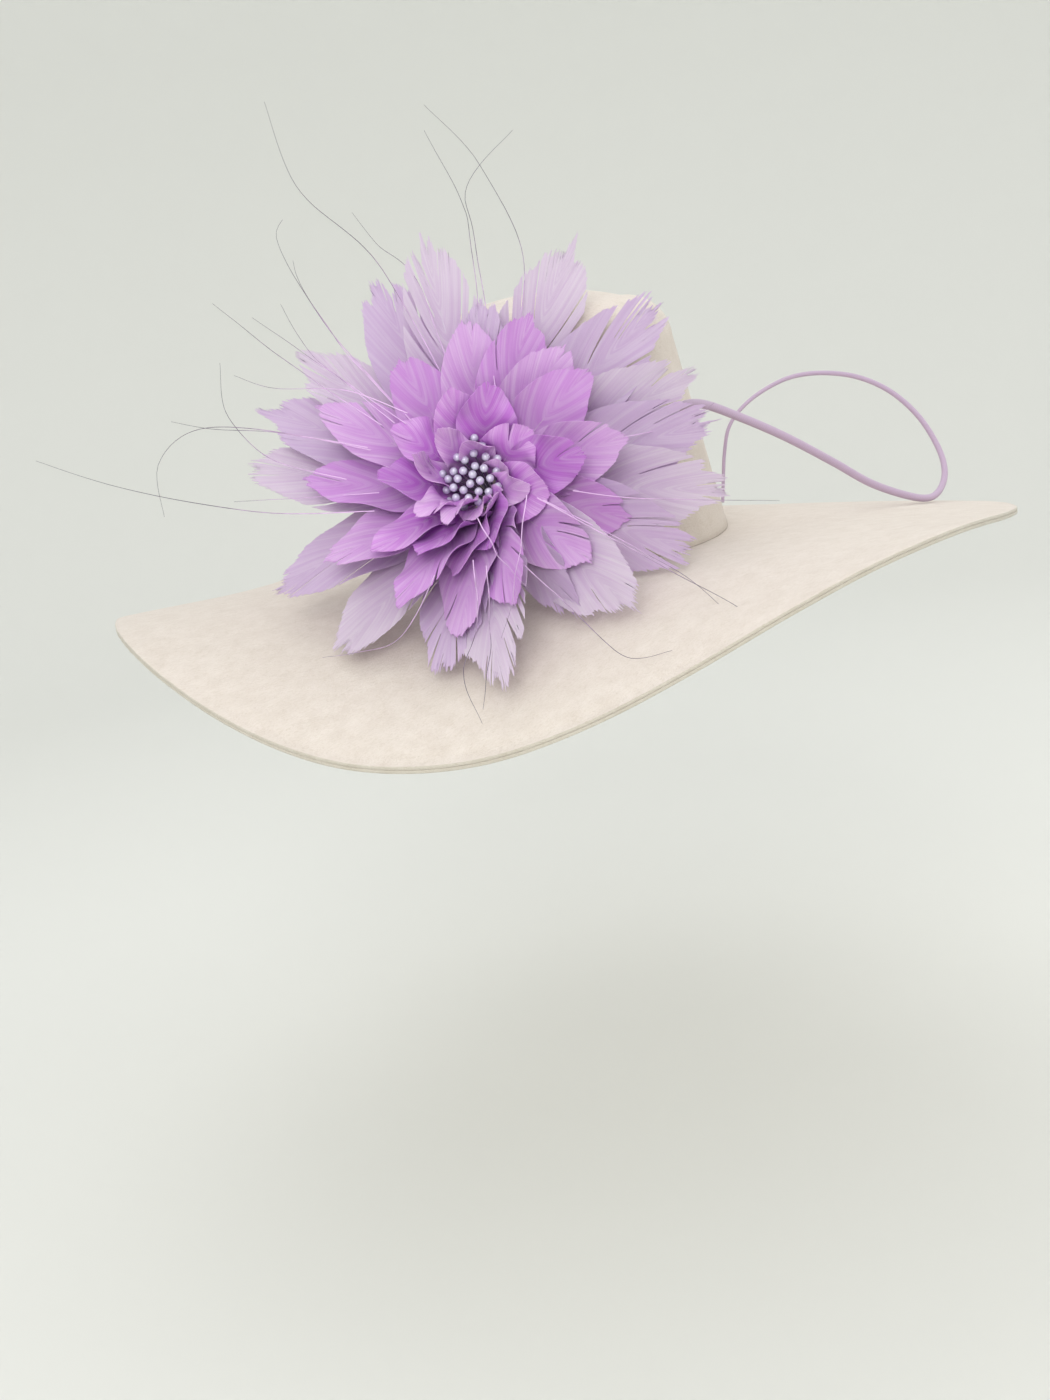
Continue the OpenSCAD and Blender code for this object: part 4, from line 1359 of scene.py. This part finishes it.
class FELTHAT_OT_crown(bpy.types.Operator):
    """Build the crown's blocked felt"""

    bl_idname = "felt_hat.crown"
    bl_label = "Crown"

    def execute(self, context):
        build_crown(context.scene.felt_settings)
        return {"FINISHED"}


class FELTHAT_OT_brim(bpy.types.Operator):
    """Build the brim's upper and under felts"""

    bl_idname = "felt_hat.brim"
    bl_label = "Brim"

    def execute(self, context):
        build_brim(context.scene.felt_settings)
        return {"FINISHED"}


class FELTHAT_OT_sewing(bpy.types.Operator):
    """Build the head ribbon, the flower's felt disc, its binding and all stitches"""

    bl_idname = "felt_hat.sewing"
    bl_label = "Ribbon, base and stitches"

    def execute(self, context):
        thread = twisted_thread("ivory sewing thread", linear("#F3EEE4"), 0.5)
        build_head_ribbon()
        build_stitches(thread)
        build_flower_base(context.scene.felt_settings)
        build_base_stitches(thread)
        build_binding()
        return {"FINISHED"}


class FELTHAT_OT_outer_feathers(bpy.types.Operator):
    """Build the flower's outer feathers"""

    bl_idname = "felt_hat.outer_feathers"
    bl_label = "Outer feathers"

    def execute(self, context):
        build_outer(context.scene.flower_settings)
        return {"FINISHED"}


class FELTHAT_OT_middle_feathers(bpy.types.Operator):
    """Build the flower's middle feathers"""

    bl_idname = "felt_hat.middle_feathers"
    bl_label = "Middle feathers"

    def execute(self, context):
        build_middle(context.scene.flower_settings)
        return {"FINISHED"}


class FELTHAT_OT_petals(bpy.types.Operator):
    """Build the inner petals and the curled petals round the stamens"""

    bl_idname = "felt_hat.petals"
    bl_label = "Petals"

    def execute(self, context):
        build_inner(context.scene.flower_settings)
        build_centre(context.scene.flower_settings)
        return {"FINISHED"}


class FELTHAT_OT_stamens(bpy.types.Operator):
    """Build the pearl stamens and their threads"""

    bl_idname = "felt_hat.stamens"
    bl_label = "Stamens"

    def execute(self, context):
        build_stamens(context.scene.trim_settings)
        return {"FINISHED"}


class FELTHAT_OT_quill(bpy.types.Operator):
    """Build the quill's wound thread and its ties"""

    bl_idname = "felt_hat.quill"
    bl_label = "Quill"

    def execute(self, context):
        build_quill(context.scene.trim_settings)
        return {"FINISHED"}


class FELTHAT_OT_filaments(bpy.types.Operator):
    """Build the fine feather hairs"""

    bl_idname = "felt_hat.filaments"
    bl_label = "Filaments"

    def execute(self, context):
        build_filaments(context.scene.trim_settings)
        return {"FINISHED"}


class FELTHAT_OT_hidden(bpy.types.Operator):
    """Give the brim's wire, its sleeve and the quill's core their finishes"""

    bl_idname = "felt_hat.hidden"
    bl_label = "Wire and quill core"

    def execute(self, context):
        build_hidden()
        return {"FINISHED"}


class FELTHAT_OT_stage(bpy.types.Operator):
    """Build the floor, the lamps and the camera"""

    bl_idname = "felt_hat.stage"
    bl_label = "Stage"

    def execute(self, context):
        build_stage(context.scene.stage_settings)
        return {"FINISHED"}


OPERATORS = [
    FELTHAT_OT_stage, FELTHAT_OT_crown, FELTHAT_OT_brim, FELTHAT_OT_sewing, FELTHAT_OT_outer_feathers,
    FELTHAT_OT_middle_feathers, FELTHAT_OT_petals, FELTHAT_OT_stamens, FELTHAT_OT_quill,
    FELTHAT_OT_filaments, FELTHAT_OT_hidden,
]


class FELTHAT_PT_panel(bpy.types.Panel):
    """Lists the hat's operators and settings"""

    bl_idname = "FELTHAT_PT_panel"
    bl_label = "Felt Hat"
    bl_space_type = "VIEW_3D"
    bl_region_type = "UI"
    bl_category = "Felt Hat"

    def draw(self, context):
        for kind in OPERATORS:
            self.layout.operator(kind.bl_idname)
        for group in SETTINGS:
            settings = getattr(context.scene, group)
            for name in settings.bl_rna.properties.keys():
                if name not in ("rna_type", "name"):
                    self.layout.prop(settings, name)


SETTINGS = {
    "felt_settings": FeltSettings, "flower_settings": FlowerSettings, "trim_settings": TrimSettings,
    "stage_settings": StageSettings,
}


def register():
    for kind in [*SETTINGS.values(), *OPERATORS, FELTHAT_PT_panel]:
        bpy.utils.register_class(kind)
    for name, kind in SETTINGS.items():
        setattr(bpy.types.Scene, name, PointerProperty(type=kind))


def unregister():
    for name in SETTINGS:
        delattr(bpy.types.Scene, name)
    for kind in reversed([*SETTINGS.values(), *OPERATORS, FELTHAT_PT_panel]):
        bpy.utils.unregister_class(kind)


def main():
    register()
    bpy.ops.felt_hat.stage()
    bpy.ops.felt_hat.crown()
    bpy.ops.felt_hat.brim()
    bpy.ops.felt_hat.sewing()
    bpy.ops.felt_hat.outer_feathers()
    bpy.ops.felt_hat.middle_feathers()
    bpy.ops.felt_hat.petals()
    bpy.ops.felt_hat.stamens()
    bpy.ops.felt_hat.quill()
    bpy.ops.felt_hat.filaments()
    bpy.ops.felt_hat.hidden()


if __name__ == "__main__":
    main()
